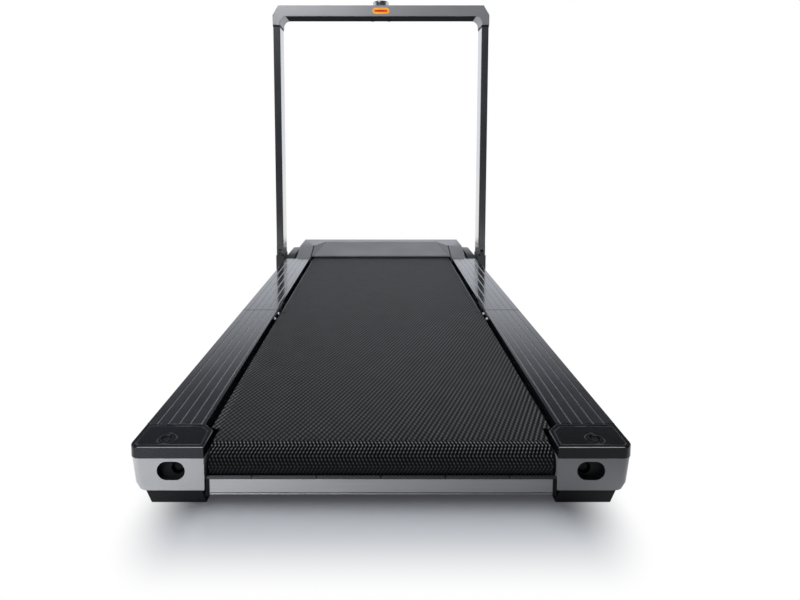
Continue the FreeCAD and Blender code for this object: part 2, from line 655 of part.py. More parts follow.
knuckle_x = "belt_half + knuckle_inset"
knuckle_end = "rail_in - leaf_thick - knuckle_gap"
knuckle_length = f"({knuckle_end} - ({knuckle_x}) - knuckle_gap) / 2"
rear_knuckle = (knuckle_x, f"{knuckle_x} + {knuckle_length}")
front_knuckle = (f"{knuckle_end} - {knuckle_length}", knuckle_end)
rear_leaf = hinge_leaf(-1, *rear_knuckle, "running_fit")
front_leaf = hinge_leaf(1, *front_knuckle, "running_fit")
pin = rod("x", "hinge_pin_radius", rear_knuckle[0], front_knuckle[1], "seam", "hinge_z")
leaf_z = "deck_height - leaf_screw_drop"


def leaf_screws(way):
    return [hexagon("x", "leaf_screw_radius", "rail_in - leaf_thick - leaf_screw_head", "rail_in - leaf_thick",
                    f"seam + {way} * {size}", leaf_z) for size in ("leaf_screw_near", "leaf_screw_far")]


node("rear_hinge_leaves", group(rear_leaf, mirror(rear_leaf)))
node("front_hinge_leaves", group(front_leaf, mirror(front_leaf)))
node("deck_hinge_pins", group(pin, mirror(pin)))
for end, way in (("rear", -1), ("front", 1)):
    heads = leaf_screws(way)
    node(end + "_leaf_screws", group(*heads, *[mirror(head) for head in heads]))

# Hood: ramped cover, sunk lid and the outer flanks


def hood_profile(brow, back):
    """Side view under a given brow line, the nose reaching down to the rails' underside in front of back."""
    return [
        ("hood_y", "hood_base"), ("hood_y", "deck_height"), ("hood_y + ramp_length", "hood_top"), *brow,
        ("front", "chin_z"), ("front - chin_run", "rail_floor"), (back, "rail_floor"), (back, "hood_base")]


def lid_plane(y, drop):
    """Height of the lid's slope at a place along Y, less a drop."""
    slope = "(hood_top - lid_near_z) / (lid_far_y - lid_near_y)"
    return f"lid_near_z + ({y} - lid_near_y) * {slope} - ({drop})"


hood = new_body()
sketch = outline(hood, "YZ", "-hood_half")
hood_brow = [("front - nose_run", "hood_top"), ("front", "hood_top - nose_drop")]
add_loop(sketch, hood_profile(hood_brow, "nose_back"))
pad(hood, sketch, "2 * hood_half")
sketch = outline(hood, "YZ", "-(hood_half - hood_wall)")
inner_y = "lid_near_y - 1"
add_loop(sketch, [
    (inner_y, "hood_base - 1"), (inner_y, lid_plane(inner_y, "lid_thick + hood_skin")),
    ("lid_far_y", lid_plane("lid_far_y", "lid_thick + hood_skin")),
    ("front - nose_run - hood_wall / 2", "hood_top - hood_wall"),
    ("front - hood_wall", "hood_top - nose_drop - hood_wall / 2"), ("front - hood_wall", "chin_z"),
    ("nose_back - 1", "chin_z"), ("nose_back - 1", "hood_base - 1")])
pocket(hood, sketch, "2 * (hood_half - hood_wall)")
sketch = outline(hood, "XZ", "nose_back")
inlet_x0, inlet_x1 = "inlet_left - side_gap", "inlet_left + inlet_width + side_gap"
inlet_z0, inlet_z1 = "inlet_z - side_gap", "inlet_z + inlet_height + side_gap"
add_loop(sketch, [(inlet_x0, inlet_z0), (inlet_x1, inlet_z0), (inlet_x1, inlet_z1), (inlet_x0, inlet_z1)])
pocket(hood, sketch, "nose_thick")
mouth = block("-rail_in", "rail_in", "hood_y - 1", "lid_near_y", "hood_base - 1", "hood_top + 1")


def sink_section(y):
    """Cross-section of the sunk lid's space, its sides leaning out as they rise."""
    far = val("lid_far_y")
    share = (val(y) - val("lid_near_y")) / (far - val("lid_near_y"))
    half = val("lid_near_half") + share * (val("lid_far_half") - val("lid_near_half"))
    low = val(lid_plane(y, "lid_thick"))
    high = val("hood_top + sink_over")
    top = half + (high - low) * val("wing_rise")
    spots = [(-half, low), (half, low), (top, high), (-top, high)]
    return Part.makePolygon([FreeCAD.Vector(x, val(y), z) for x, z in spots + spots[:1]])


sink_ends = [sink_section("lid_near_y - 20"), sink_section("lid_far_y")]
sink = solid_from(Part.makeLoft(sink_ends, True, True), "Sink")
throat = block("-rail_in", "rail_in", "lid_near_y - 2", "lid_far_y + 1", "hood_base", "hood_top + 10")
wings = doc.addObject("Part::Common", "Wings")
wings.Base = sink
wings.Tool = throat
doc.recompute()
slit = block("rail_in - slit_width", "rail_in", "lid_near_y - 1", "hood_y + ramp_length + slit_over",
             "deck_height", "hood_top + 1")
node("hood_cover", cut(hood, mouth, wings, slit, mirror(slit)))

near_y, far_y = val("lid_near_y"), val("lid_far_y - lid_joint")
near_half, far_half = val("lid_near_half - lid_joint"), val("lid_far_half - lid_joint")
lid_rim = [(-near_half, near_y), (near_half, near_y), (far_half, far_y), (-far_half, far_y)]
lid_spots = [FreeCAD.Vector(x, y, val(lid_plane(str(y), "lid_thick"))) for x, y in lid_rim]
lid_face = Part.Face(Part.makePolygon(lid_spots + lid_spots[:1]))
node("hood_lid", solid_from(lid_face.extrude(FreeCAD.Vector(0, 0, val("lid_thick"))), "Lid"))

flank = new_body()
sketch = outline(flank, "YZ", "flank_in")
add_loop(sketch, hood_profile([("front", "deck_height - flank_nose_drop")], "rail_front + side_gap"))
pad(flank, sketch, "rail_out - flank_in")
sketch = outline(flank, "XZ", "hood_y")
add_loop(sketch, [
    ("flank_in", "flank_top"), ("rail_out", "flank_edge"), ("rail_out", "hood_top + 1"),
    ("flank_in", "hood_top + 1")])
pocket(flank, sketch, "front - hood_y")
sketch = outline(flank, "YZ", "flank_in")
add_circle(sketch, "wheel_y", "wheel_z", "wheel_axle + screw_fit")
pocket(flank, sketch, "wheel_axle_end")
both_sides("hood_flank", flank)

# Motor tray, motor, rotor, pulleys, drive belt and controller

tray_half, tray_back = "beam_in - screw_fit", "nose_back - side_gap"
tray_wall = block(f"{tray_half} - tray_thick", tray_half, "tray_y", tray_back, "tray_base",
                  "tray_base + tray_wall")
tray_floor = block(f"-({tray_half})", tray_half, "tray_y", tray_back, "tray_base", "tray_top")
node("motor_tray", fuse(tray_floor, tray_wall, mirror(tray_wall)))

motor = fuse(
    rod("x", "motor_radius", "-motor_left", "motor_right", "motor_y", "motor_z"),
    block("motor_foot_inset - motor_left", "motor_right - motor_foot_inset", "motor_y - motor_foot / 2",
          "motor_y + motor_foot / 2", "tray_top", "motor_z - motor_radius / 2"))
shaft_bore = rod("x", "shaft_radius + running_fit", "motor_right - shaft_bite", "motor_right + 1",
                 "motor_y", "motor_z")
node("motor_body", cut(motor, shaft_bore))
node("motor_rotor", fuse(
    rod("x", "shaft_radius", "motor_right - shaft_bite + shaft_end", "pulley_x + pulley_width",
        "motor_y", "motor_z"),
    rod("x", "motor_pulley_radius", "pulley_x", "pulley_x + pulley_width", "motor_y", "motor_z")))
pulley = rod("x", "roller_pulley_radius", "roller_half", "pulley_x + pulley_width",
             "drive_roller_y", "roller_z")
pulley_bore = rod("x", "axle_radius + running_fit", "roller_half - 1", "pulley_x + pulley_width + 1",
                  "drive_roller_y", "roller_z")
node("roller_pulley", cut(pulley, pulley_bore))


def belt_wire(x, grow):
    """Loop round both pulleys at a distance from their faces."""
    spots = [(val("drive_roller_y"), val("roller_z"), val("roller_pulley_radius") + grow),
             (val("motor_y"), val("motor_z"), val("motor_pulley_radius") + grow)]
    (ya, za, ra), (yb, zb, rb) = spots
    line = math.atan2(zb - za, yb - ya)
    lean = math.acos((ra - rb) / math.hypot(yb - ya, zb - za))

    def rim(y, z, r, angle):
        return FreeCAD.Vector(x, y + r * math.cos(angle), z + r * math.sin(angle))
    up, down = line + lean, line - lean
    big = Part.Arc(rim(ya, za, ra, up), rim(ya, za, ra, line + math.pi), rim(ya, za, ra, down)).toShape()
    small = Part.Arc(rim(yb, zb, rb, down), rim(yb, zb, rb, line), rim(yb, zb, rb, up)).toShape()
    low = Part.makeLine(rim(ya, za, ra, down), rim(yb, zb, rb, down))
    high = Part.makeLine(rim(yb, zb, rb, up), rim(ya, za, ra, up))
    return Part.Wire([big, low, small, high])


belt_x = val("pulley_x + (pulley_width - drive_belt_width) / 2")
loops = [Part.Face(belt_wire(belt_x, val("belt_gap") + extra)) for extra in (val("drive_belt_thick"), 0)]
ring = loops[0].cut(loops[1]).extrude(FreeCAD.Vector(val("drive_belt_width"), 0, 0))
node("drive_belt", solid_from(ring.Solids[0], "DriveBelt"))

case_end = "-motor_left - controller_gap"
case_top = "tray_top + controller_height"
case = block("controller_x", case_end, "controller_y", "controller_y + controller_depth", "tray_top", case_top)
gap_y = "controller_y + fin_inset + {} * fin_pitch"
gaps = [block("controller_x - 1", f"{case_end} + 1", gap_y.format(i), gap_y.format(i) + " + fin_gap",
              f"{case_top} - fin_depth", f"{case_top} + 1") for i in range(SIZES["fin_count"])]
node("motor_controller", cut(case, fuse(*gaps)))

# Power inlet with its rocker switch in the nose

inlet_face = "front - inlet_sink"
inlet = block("inlet_left", "inlet_left + inlet_width", f"{inlet_face} - inlet_depth", inlet_face,
              "inlet_z", "inlet_z + inlet_height")
socket_x, inlet_mid = "inlet_left + inlet_rim + socket_width / 2", "inlet_z + inlet_height / 2"
socket = block(f"{socket_x} - socket_width / 2", f"{socket_x} + socket_width / 2",
               f"{inlet_face} - socket_depth", f"{inlet_face} + 1",
               f"{inlet_mid} - socket_height / 2", f"{inlet_mid} + socket_height / 2")
rocker_x = "inlet_left + inlet_width - inlet_rim - rocker_width / 2"
rocker_hole = block(f"{rocker_x} - rocker_width / 2 - side_gap", f"{rocker_x} + rocker_width / 2 + side_gap",
                    f"{inlet_face} - rocker_pocket", f"{inlet_face} + 1",
                    f"{inlet_mid} - rocker_height / 2 - side_gap * 2",
                    f"{inlet_mid} + rocker_height / 2 + side_gap * 2")
rocker_pin_y = f"{inlet_face} - rocker_pocket / 2"
pin_bore = rod("x", "rocker_pin + running_fit", f"{rocker_x} - rocker_width / 2 - rocker_pin_end - 1",
               f"{rocker_x} + rocker_width / 2 + rocker_pin_end + 1", rocker_pin_y, inlet_mid)


def blade(place, rise):
    """Contact blade of the socket, beside its middle and above or below it."""
    x, z = f"{socket_x} + {place} * blade_pitch", f"{inlet_mid} + {rise} * blade_step / 2"
    return block(f"{x} - blade_width / 2", f"{x} + blade_width / 2", f"{inlet_face} - socket_depth - 1",
                 f"{inlet_face} - socket_depth + blade_length", f"{z} - blade_height / 2",
                 f"{z} + blade_height / 2")


blades = [blade(-1, -1), blade(0, 1), blade(1, -1)]
node("power_inlet", fuse(cut(inlet, socket, rocker_hole, pin_bore), *blades))
rocker_drum = rod("x", "rocker_height / 2", f"{rocker_x} - rocker_width / 2", f"{rocker_x} + rocker_width / 2",
                  rocker_pin_y, inlet_mid)
rocker_front = block(f"{rocker_x} - rocker_width", f"{rocker_x} + rocker_width", f"{inlet_face} - rocker_sink",
                     f"{inlet_face} + rocker_height", f"{inlet_mid} - rocker_height",
                     f"{inlet_mid} + rocker_height")
rocker_back = block(f"{rocker_x} - rocker_width", f"{rocker_x} + rocker_width",
                    f"{inlet_face} - 2 * rocker_height", f"{inlet_face} - rocker_pocket + rocker_sink",
                    f"{inlet_mid} - rocker_height", f"{inlet_mid} + rocker_height")
rocker_pin = rod("x", "rocker_pin", f"{rocker_x} - rocker_width / 2 - rocker_pin_end",
                 f"{rocker_x} + rocker_width / 2 + rocker_pin_end", rocker_pin_y, inlet_mid)
node("power_switch", fuse(cut(rocker_drum, rocker_front, rocker_back), rocker_pin))

# Front feet, transport wheels and their axles

pads = [block("rail_in + pad_inset", "rail_in + pad_inset + pad_width", place, f"{place} + pad_length", "0",
              "rail_floor") for place in ("seam + pad_seam_gap", "front - pad_front_run")]
node("front_feet", group(*pads, *[mirror(piece) for piece in pads]))
wheel = new_body()
sketch = outline(wheel, "YZ", "wheel_x")
add_circle(sketch, "wheel_y", "wheel_z", "wheel_radius")
add_circle(sketch, "wheel_y", "wheel_z", "wheel_axle + running_fit")
pad(wheel, sketch, "wheel_width")
both_sides("transport_wheel", wheel)
stub = rod("x", "wheel_axle", "wheel_x - wheel_axle_inner", "flank_in + wheel_axle_end - side_gap",
           "wheel_y", "wheel_z")
node("wheel_axles", group(stub, mirror(stub)))

# Gantry bases on the rails, pins, and the feet of the uprights

base_in, base_out = "upright_in - base_proud", "upright_out + base_proud"
base = new_body()
sketch = outline(base, "XZ", "gantry_y")
lean = "rail_draft / (tread_base - chine_z)"
add_loop(sketch, [
    (f"chine_x + (base_floor - chine_z) * {lean}", "base_floor"), (base_out, "base_floor"),
    (base_out, "base_top"), (base_in, "base_top"), (base_in, "base_flange_top"),
    (f"chine_x + (base_flange_top - chine_z) * {lean}", "base_flange_top")])
pad(base, sketch, "upright_depth")
sketch = outline(base, "YZ", "lug_in")
add_circle(sketch, "gantry_pin_y", "gantry_pin_z", "gantry_pin_inset - lug_clear")
pad(base, sketch, "lug_thick")
sketch = outline(base, "YZ", "lug_in")
add_loop(sketch, [
    ("gantry_pin_y - gantry_pin_inset + lug_clear", "base_top - 5"),
    ("gantry_pin_y + gantry_pin_inset - lug_clear", "base_top - 5"),
    ("gantry_pin_y + gantry_pin_inset - lug_clear", "gantry_pin_z"),
    ("gantry_pin_y - gantry_pin_inset + lug_clear", "gantry_pin_z")])
pad(base, sketch, "lug_thick")
sketch = outline(base, "YZ", "lug_in - 1")
add_circle(sketch, "gantry_pin_y", "gantry_pin_z", "gantry_pin_radius + running_fit")
pocket(base, sketch, "lug_thick + 2")
node("gantry_bases", group(base, mirror(base)))
gantry_pin = rod("x", "gantry_pin_radius", "upright_in", "upright_out", "gantry_pin_y", "gantry_pin_z")
node("gantry_pins", group(gantry_pin, mirror(gantry_pin)))

knee = new_body()
sketch = outline(knee, "YZ", "upright_in")
knee_base = "gantry_pin_z - gantry_pin_inset"
add_loop(sketch, [
    ("gantry_y", knee_base), ("upright_back", knee_base), ("upright_back", "upright_foot_top"),
    ("gantry_y", "upright_foot_top")])
pad(knee, sketch, "upright_width")
round_edges(knee, "gantry_pin_inset", lambda m, d: near(m.y, "gantry_y") and near(m.z, knee_base))
sketch = outline(knee, "YZ", "lug_in - lug_side")
add_loop(sketch, [
    ("gantry_y - 1", f"{knee_base} - 1"), ("upright_back + 1", f"{knee_base} - 1"),
    ("upright_back + 1", "gantry_pin_z + lug_slot"), ("gantry_y - 1", "gantry_pin_z + lug_slot")])
pocket(knee, sketch, "lug_thick + 2 * lug_side")
sketch = outline(knee, "YZ", "upright_in - 1")
add_circle(sketch, "gantry_pin_y", "gantry_pin_z", "gantry_pin_radius + running_fit")
pocket(knee, sketch, "upright_width + 2")
node("upright_feet", group(knee, mirror(knee)))

# Uprights and the crossbar

upright = new_body()
sketch = outline(upright, "XY", "upright_foot_top")
add_loop(sketch, [
    ("upright_in", "gantry_y"), ("upright_out", "gantry_y"), ("upright_out", "upright_back"),
    ("upright_in", "upright_back")])
add_loop(sketch, [
    ("upright_in + upright_wall", "gantry_y + upright_wall"),
    ("upright_out - upright_wall", "gantry_y + upright_wall"),
    ("upright_out - upright_wall", "upright_back - upright_wall"),
    ("upright_in + upright_wall", "upright_back - upright_wall")])
pad(upright, sketch, "leg_bottom - upright_foot_top")
both_sides("upright", upright)


def bar_hollow(shrink):
    """Inside outline of the crossbar, open at the foot of each leg, held back by shrink."""
    skin = f"bar_skin + {shrink}"
    right = [
        (f"leg_in + {skin}", "leg_bottom"), (f"leg_out - ({skin})", "leg_bottom"),
        (f"leg_out - ({skin})", f"bar_crown - bar_chamfer_z - ({skin}) * 0.5"),
        (f"leg_out - bar_chamfer_x - ({skin}) * 0.5", f"bar_crown - ({skin})")]
    inner = [(f"leg_in + {skin}", f"bar_bottom + {skin}")]
    left = [(f"-({x})", z) for x, z in reversed(right)]
    return right + left + [(f"-({x})", z) for x, z in inner] + inner


crossbar = new_body()
sketch = outline(crossbar, "XZ", "bar_y")
right = [
    ("leg_in", "leg_bottom"), ("leg_out", "leg_bottom"), ("leg_out", "bar_crown - bar_chamfer_z"),
    ("leg_out - bar_chamfer_x", "bar_crown")]
add_loop(sketch, right + [(f"-({x})", z) for x, z in reversed(right)]
         + [("-leg_in", "bar_bottom"), ("leg_in", "bar_bottom")])
pad(crossbar, sketch, "bar_deep")
round_edges(crossbar, "bar_corner", lambda m, d: near(abs(m.x), "leg_in") and near(m.z, "bar_bottom"))
sketch = outline(crossbar, "XZ", "bar_y + bar_skin")
add_loop(sketch, bar_hollow("0"))
pocket(crossbar, sketch, "bar_deep - bar_skin")
sketch = outline(crossbar, "XZ", "bar_y")
half_run = "(display_width - display_height) / 2"
add_slot(sketch, f"-{half_run}", half_run, "display_z", "display_height / 2")
pocket(crossbar, sketch, "bar_skin")
sketch = outline(crossbar, "XY", "bar_crown - bar_skin")
add_circle(sketch, "0", "knob_y", "stem_radius + running_fit")
pocket(crossbar, sketch, "bar_skin")
node("crossbar_shell", crossbar)

cover = new_body()
sketch = outline(cover, "XZ", "bar_back - bar_skin")
add_loop(sketch, bar_hollow("display_fit"))
pad(cover, sketch, "bar_skin")
node("crossbar_back", cover)

# Display, control screws and the speed knob

bezel = new_body()
sketch = outline(bezel, "XZ", "bar_y - display_proud")
add_slot(sketch, f"-{half_run}", half_run, "display_z", "display_height / 2 - display_fit")
add_slot(sketch, f"-{half_run}", half_run, "display_z", "display_height / 2 - display_rim")
pad(bezel, sketch, "bar_skin + display_proud")
node("display_bezel", bezel)
lens = new_body()
sketch = outline(lens, "XZ", "bar_y - display_proud / 2")
add_slot(sketch, f"-{half_run}", half_run, "display_z", "display_height / 2 - display_rim - display_fit")
pad(lens, sketch, "bar_skin + display_proud / 2")
node("display_lens", lens)

control_screw = rod("z", "control_screw_radius", "bar_bottom - control_screw_head", "bar_bottom",
                    "control_screw_x", "bar_back - control_screw_inset")
node("control_screws", group(control_screw, mirror(control_screw)))

flange_top = "bar_crown - bar_skin - side_gap"
node("knob_stem", fuse(
    rod("z", "stem_radius", flange_top, "knob_top - knob_cap - side_gap", "0", "knob_y"),
    rod("z", "stem_flange", f"{flange_top} - stem_flange_thick", flange_top, "0", "knob_y")))
knob = new_body()
sketch = outline(knob, "XZ", "knob_y")
add_loop(sketch, [
    ("stem_radius + running_fit", "knob_base"), ("knob_radius", "knob_base"),
    ("knob_radius", "knob_top - knob_edge"),
    ("knob_radius - knob_edge", "knob_top"), ("0", "knob_top"), ("0", "knob_top - knob_cap"),
    ("stem_radius + running_fit", "knob_top - knob_cap")])
turn = knob.newObject("PartDesign::Revolution", "Turn")
turn.Profile = sketch
turn.ReferenceAxis = (sketch, ["V_Axis"])
turn.Angle = 360
doc.recompute()
node("speed_knob", knob)

# Check every object, then write one file per piece

for piece in doc.Objects:
    if any(word in piece.State for word in ("Invalid", "Error")):
        raise RuntimeError(f"{piece.Label} is {piece.State}")
os.makedirs("parts", exist_ok=True)
for piece in nodes:
    if piece.Shape.isNull() or not piece.Shape.isValid() or not piece.Shape.Solids:
        raise RuntimeError(f"{piece.Label} has no valid solid")
    piece.Shape.exportStep(f"parts/{piece.Label}.step")
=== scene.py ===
import math
import bpy
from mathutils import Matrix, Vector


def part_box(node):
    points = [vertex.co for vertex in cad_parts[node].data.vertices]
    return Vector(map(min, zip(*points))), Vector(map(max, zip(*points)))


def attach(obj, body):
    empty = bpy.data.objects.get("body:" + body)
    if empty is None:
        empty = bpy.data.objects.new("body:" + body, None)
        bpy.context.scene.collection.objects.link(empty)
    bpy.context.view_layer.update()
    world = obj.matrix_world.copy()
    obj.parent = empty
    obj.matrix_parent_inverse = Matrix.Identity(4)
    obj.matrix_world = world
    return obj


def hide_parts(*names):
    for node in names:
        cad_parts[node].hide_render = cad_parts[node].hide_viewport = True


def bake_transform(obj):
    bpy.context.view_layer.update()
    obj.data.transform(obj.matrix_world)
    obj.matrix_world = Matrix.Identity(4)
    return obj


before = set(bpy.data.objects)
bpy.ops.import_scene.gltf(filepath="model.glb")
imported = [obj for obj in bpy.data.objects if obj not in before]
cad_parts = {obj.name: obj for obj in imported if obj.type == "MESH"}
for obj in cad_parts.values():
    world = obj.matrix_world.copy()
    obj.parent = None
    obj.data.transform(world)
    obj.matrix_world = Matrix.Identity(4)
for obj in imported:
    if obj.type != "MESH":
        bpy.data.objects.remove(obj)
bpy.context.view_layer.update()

# Side rails. Hollow aluminium extrusions with a drafted outer wall, sawn to length for each half of the
# deck and anodised dark. Everything else of the deck is screwed to them.
RAIL_EDGE = 0.0008


def linear(code):
    """Linear colour of an sRGB hex value."""
    parts = [int(code[i:i + 2], 16) / 255 for i in (1, 3, 5)]
    return [p / 12.92 if p <= 0.04045 else ((p + 0.055) / 1.055) ** 2.4 for p in parts] + [1.0]


def add_node(material, kind, values=None, links=None, stops=(), **settings):
    """Node of a material with its settings, socket values, incoming links and, on a ramp, colour stops."""
    tree = material.node_tree
    item = tree.nodes.new("ShaderNode" + kind)
    for key, value in settings.items():
        setattr(item, key, value)
    for key, value in (values or {}).items():
        item.inputs[key].default_value = value
    for key, socket in (links or {}).items():
        tree.links.new(socket, item.inputs[key])
    for i, (spot, code) in enumerate(stops):
        if i > 1:
            item.color_ramp.elements.new(spot)
        item.color_ramp.elements[i].position = spot
        item.color_ramp.elements[i].color = linear(code)
    return item


def new_material(name, **values):
    """Material with a Principled shader whose uniform values are set on its own sockets."""
    material = bpy.data.materials.new(name)
    material.use_nodes = True
    shader = material.node_tree.nodes["Principled BSDF"]
    for key, value in values.items():
        shader.inputs[key.replace("_", " ")].default_value = value
    return material, shader


def plug(material, shader, **sockets):
    """Link patterns into the shader."""
    for key, socket in sockets.items():
        material.node_tree.links.new(socket, shader.inputs[key.replace("_", " ")])


def only(piece):
    """Leave one object selected and active."""
    for other in bpy.context.selected_objects:
        other.select_set(False)
    piece.select_set(True)
    bpy.context.view_layer.objects.active = piece


def apply_all(piece):
    """Apply the piece's modifiers in order."""
    only(piece)
    for modifier in list(piece.modifiers):
        bpy.ops.object.modifier_apply(modifier=modifier.name)


def soften(piece, width, segments=2, angle=35):
    """Break the sharp edges to a radius and keep the flats flat."""
    only(piece)
    bpy.ops.object.shade_smooth()
    edge = piece.modifiers.new("Edges", "BEVEL")
    edge.width = width
    edge.segments = segments
    edge.limit_method = "ANGLE"
    edge.angle_limit = math.radians(angle)
    edge.harden_normals = True
    apply_all(piece)
    return piece


def merged_copy(node):
    """Copy of a CAD solid with its loose facets merged and joined into flat faces."""
    piece = bpy.data.objects.new(node + "_finish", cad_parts[node].data.copy())
    bpy.context.collection.objects.link(piece)
    only(piece)
    bpy.ops.mesh.customdata_custom_splitnormals_clear()
    bpy.ops.object.mode_set(mode="EDIT")
    bpy.ops.mesh.select_mode(type="VERT")
    bpy.ops.mesh.select_all(action="SELECT")
    bpy.ops.mesh.remove_doubles(threshold=0.000004)
    bpy.ops.mesh.dissolve_limited(angle_limit=math.radians(0.5))
    bpy.ops.object.mode_set(mode="OBJECT")
    return piece


def place(piece, body, slot, material, *nodes):
    """Give a piece its material, and let it stand for its CAD nodes on their body."""
    piece.data.materials.clear()
    piece.data.materials.append(material)
    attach(piece, body)
    if nodes:
        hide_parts(*nodes)
    return piece


def dress(node, body, slot, material, edge, segments=2):
    """Stand a softened copy of a CAD solid in its place."""
    return place(soften(merged_copy(node), edge, segments), body, slot, material, node)


# Anodised aluminium: dark metal with a satin sheen and faint lines along the rail from the die. The die
# lines are drawn 1 mm apart, coarser than real, so that they show.
anodised, shader = new_material("anodised_aluminium", Metallic=0.85)
where = add_node(anodised, "TexCoord").outputs["Object"]
along = add_node(anodised, "Mapping", {"Scale": (1.0, 0.01, 1.0)}, {"Vector": where})
lines = add_node(anodised, "TexNoise", {"Scale": 1000.0, "Detail": 3.0}, {"Vector": along.outputs["Vector"]})
tint = add_node(anodised, "ValToRGB", links={"Fac": lines.outputs["Fac"]},
                stops=[(0.3, "#36383c"), (0.7, "#4a4c50")])
sheen = add_node(anodised, "MapRange", {"To Min": 0.30, "To Max": 0.46}, {"Value": lines.outputs["Fac"]})
relief = add_node(anodised, "Bump", {"Strength": 0.12, "Distance": 0.0002}, {"Height": lines.outputs["Fac"]})
plug(anodised, shader, Base_Color=tint.outputs["Color"], Roughness=sheen.outputs["Result"],
     Normal=relief.outputs["Normal"])
for half in ("front", "rear"):
    for side in ("left", "right"):
        dress(f"{side}_{half}_rail", half + "_frame", "rail_alloy", anodised, RAIL_EDGE)

# Cross-members. Channels folded from steel sheet and blackened. They are screwed between the two rails,
# under the boards, and tie them together.
FOLD_EDGE = 0.0006

# Black oxide on steel: nearly black, with a dull sheen that blooms unevenly over a few millimetres.
oxide, shader = new_material("black_oxide_steel", Metallic=0.8)
where = add_node(oxide, "TexCoord").outputs["Object"]
bloom = add_node(oxide, "TexNoise", {"Scale": 220.0, "Detail": 4.0}, {"Vector": where})
tint = add_node(oxide, "ValToRGB", links={"Fac": bloom.outputs["Fac"]},
                stops=[(0.3, "#1a1b1d"), (0.7, "#2a2b2e")])
sheen = add_node(oxide, "MapRange", {"To Min": 0.32, "To Max": 0.52}, {"Value": bloom.outputs["Fac"]})
plug(oxide, shader, Base_Color=tint.outputs["Color"], Roughness=sheen.outputs["Result"])
for half in ("front", "rear"):
    dress(half + "_crossmembers", half + "_frame", "black_steel", oxide, FOLD_EDGE)

# Cushions. Blocks moulded from soft rubber, pressed in between the cross-members and the boards. They
# take up the walker's steps.
CUSHION_EDGE = 0.0010

# Moulded rubber: matt charcoal, with a dusty bloom a few millimetres across.
rubber, shader = new_material("moulded_rubber", IOR=1.52)
where = add_node(rubber, "TexCoord").outputs["Object"]
dust = add_node(rubber, "TexNoise", {"Scale": 300.0, "Detail": 5.0}, {"Vector": where})
tint = add_node(rubber, "ValToRGB", links={"Fac": dust.outputs["Fac"]},
                stops=[(0.3, "#0d0e11"), (0.7, "#15171a")])
sheen = add_node(rubber, "MapRange", {"To Min": 0.52, "To Max": 0.70}, {"Value": dust.outputs["Fac"]})
relief = add_node(rubber, "Bump", {"Strength": 0.15, "Distance": 0.0003}, {"Height": dust.outputs["Fac"]})
plug(rubber, shader, Base_Color=tint.outputs["Color"], Roughness=sheen.outputs["Result"],
     Normal=relief.outputs["Normal"])
for half in ("front", "rear"):
    dress(half + "_cushions", half + "_frame", "rubber", rubber, CUSHION_EDGE)

# Deck boards. Fibreboard sawn to size, one board for each half, faced and edged with waxed black
# laminate. The belt slides over them.
BOARD_EDGE = 0.0008

# Waxed laminate: dull and nearly black even at a low angle, with a cloudy wax haze some centimetres
# across.
laminate, shader = new_material("waxed_black_laminate", IOR=1.25)
where = add_node(laminate, "TexCoord").outputs["Object"]
haze = add_node(laminate, "TexNoise", {"Scale": 35.0, "Detail": 5.0}, {"Vector": where})
tint = add_node(laminate, "ValToRGB", links={"Fac": haze.outputs["Fac"]},
                stops=[(0.3, "#101112"), (0.7, "#191a1c")])
sheen = add_node(laminate, "MapRange", {"To Min": 0.66, "To Max": 0.84}, {"Value": haze.outputs["Fac"]})
plug(laminate, shader, Base_Color=tint.outputs["Color"], Roughness=sheen.outputs["Result"])
for half in ("front", "rear"):
    dress(half + "_deck_board", half + "_frame", "board_wood", laminate, BOARD_EDGE)

# Edge strips. Thin aluminium strips on the front board beside the belt, rounded on top. They stand in
# for the highlight along the belt's edge and show as a fine light line in the gap between belt and
# tread: a painted highlight.
STRIP_GAP = 0.0105
STRIP_WIDTH = 0.0022
STRIP_RISE = 0.0015

# Brushed aluminium: mid grey metal with lines along its length, drawn 1 mm apart.
brushed, shader = new_material("brushed_aluminium", Metallic=1.0)
where = add_node(brushed, "TexCoord").outputs["Object"]
along = add_node(brushed, "Mapping", {"Scale": (1.0, 0.01, 1.0)}, {"Vector": where})
lines = add_node(brushed, "TexNoise", {"Scale": 1000.0, "Detail": 3.0}, {"Vector": along.outputs["Vector"]})
tint = add_node(brushed, "ValToRGB", links={"Fac": lines.outputs["Fac"]},
                stops=[(0.3, "#a4a6a9"), (0.7, "#bcbec1")])
sheen = add_node(brushed, "MapRange", {"To Min": 0.34, "To Max": 0.50}, {"Value": lines.outputs["Fac"]})
plug(brushed, shader, Base_Color=tint.outputs["Color"], Roughness=sheen.outputs["Result"])
belt_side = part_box("walking_belt")[1][0]
board_low, board_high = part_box("front_deck_board")
# Painted highlight: a bright strip beside each edge of the belt.
for side, way in (("left", -1), ("right", 1)):
    bpy.ops.object.select_all(action="DESELECT")
    bpy.ops.mesh.primitive_cube_add(
        size=1, scale=(STRIP_WIDTH, board_high[1] - board_low[1], STRIP_RISE),
        location=(way * (belt_side + STRIP_GAP + STRIP_WIDTH / 2), (board_low[1] + board_high[1]) / 2,
                  board_high[2] + STRIP_RISE / 2))
    strip = bpy.context.active_object
    strip.name = side + "_highlight_strip"
    bpy.ops.object.transform_apply(location=True, rotation=True, scale=True)
    place(soften(strip, STRIP_RISE * 0.45, 3), "front_frame", "rail_alloy", brushed)

# Rollers and axles. Steel tubes turned true at the ends and blackened, on fixed round axles of plated
# steel. The belt runs round them.
ROLLER_EDGE = 0.0006
AXLE_EDGE = 0.0004
dress("rear_roller", "rear_roller", "steel", oxide, ROLLER_EDGE)
dress("drive_roller", "drive_roller", "steel", oxide, ROLLER_EDGE)

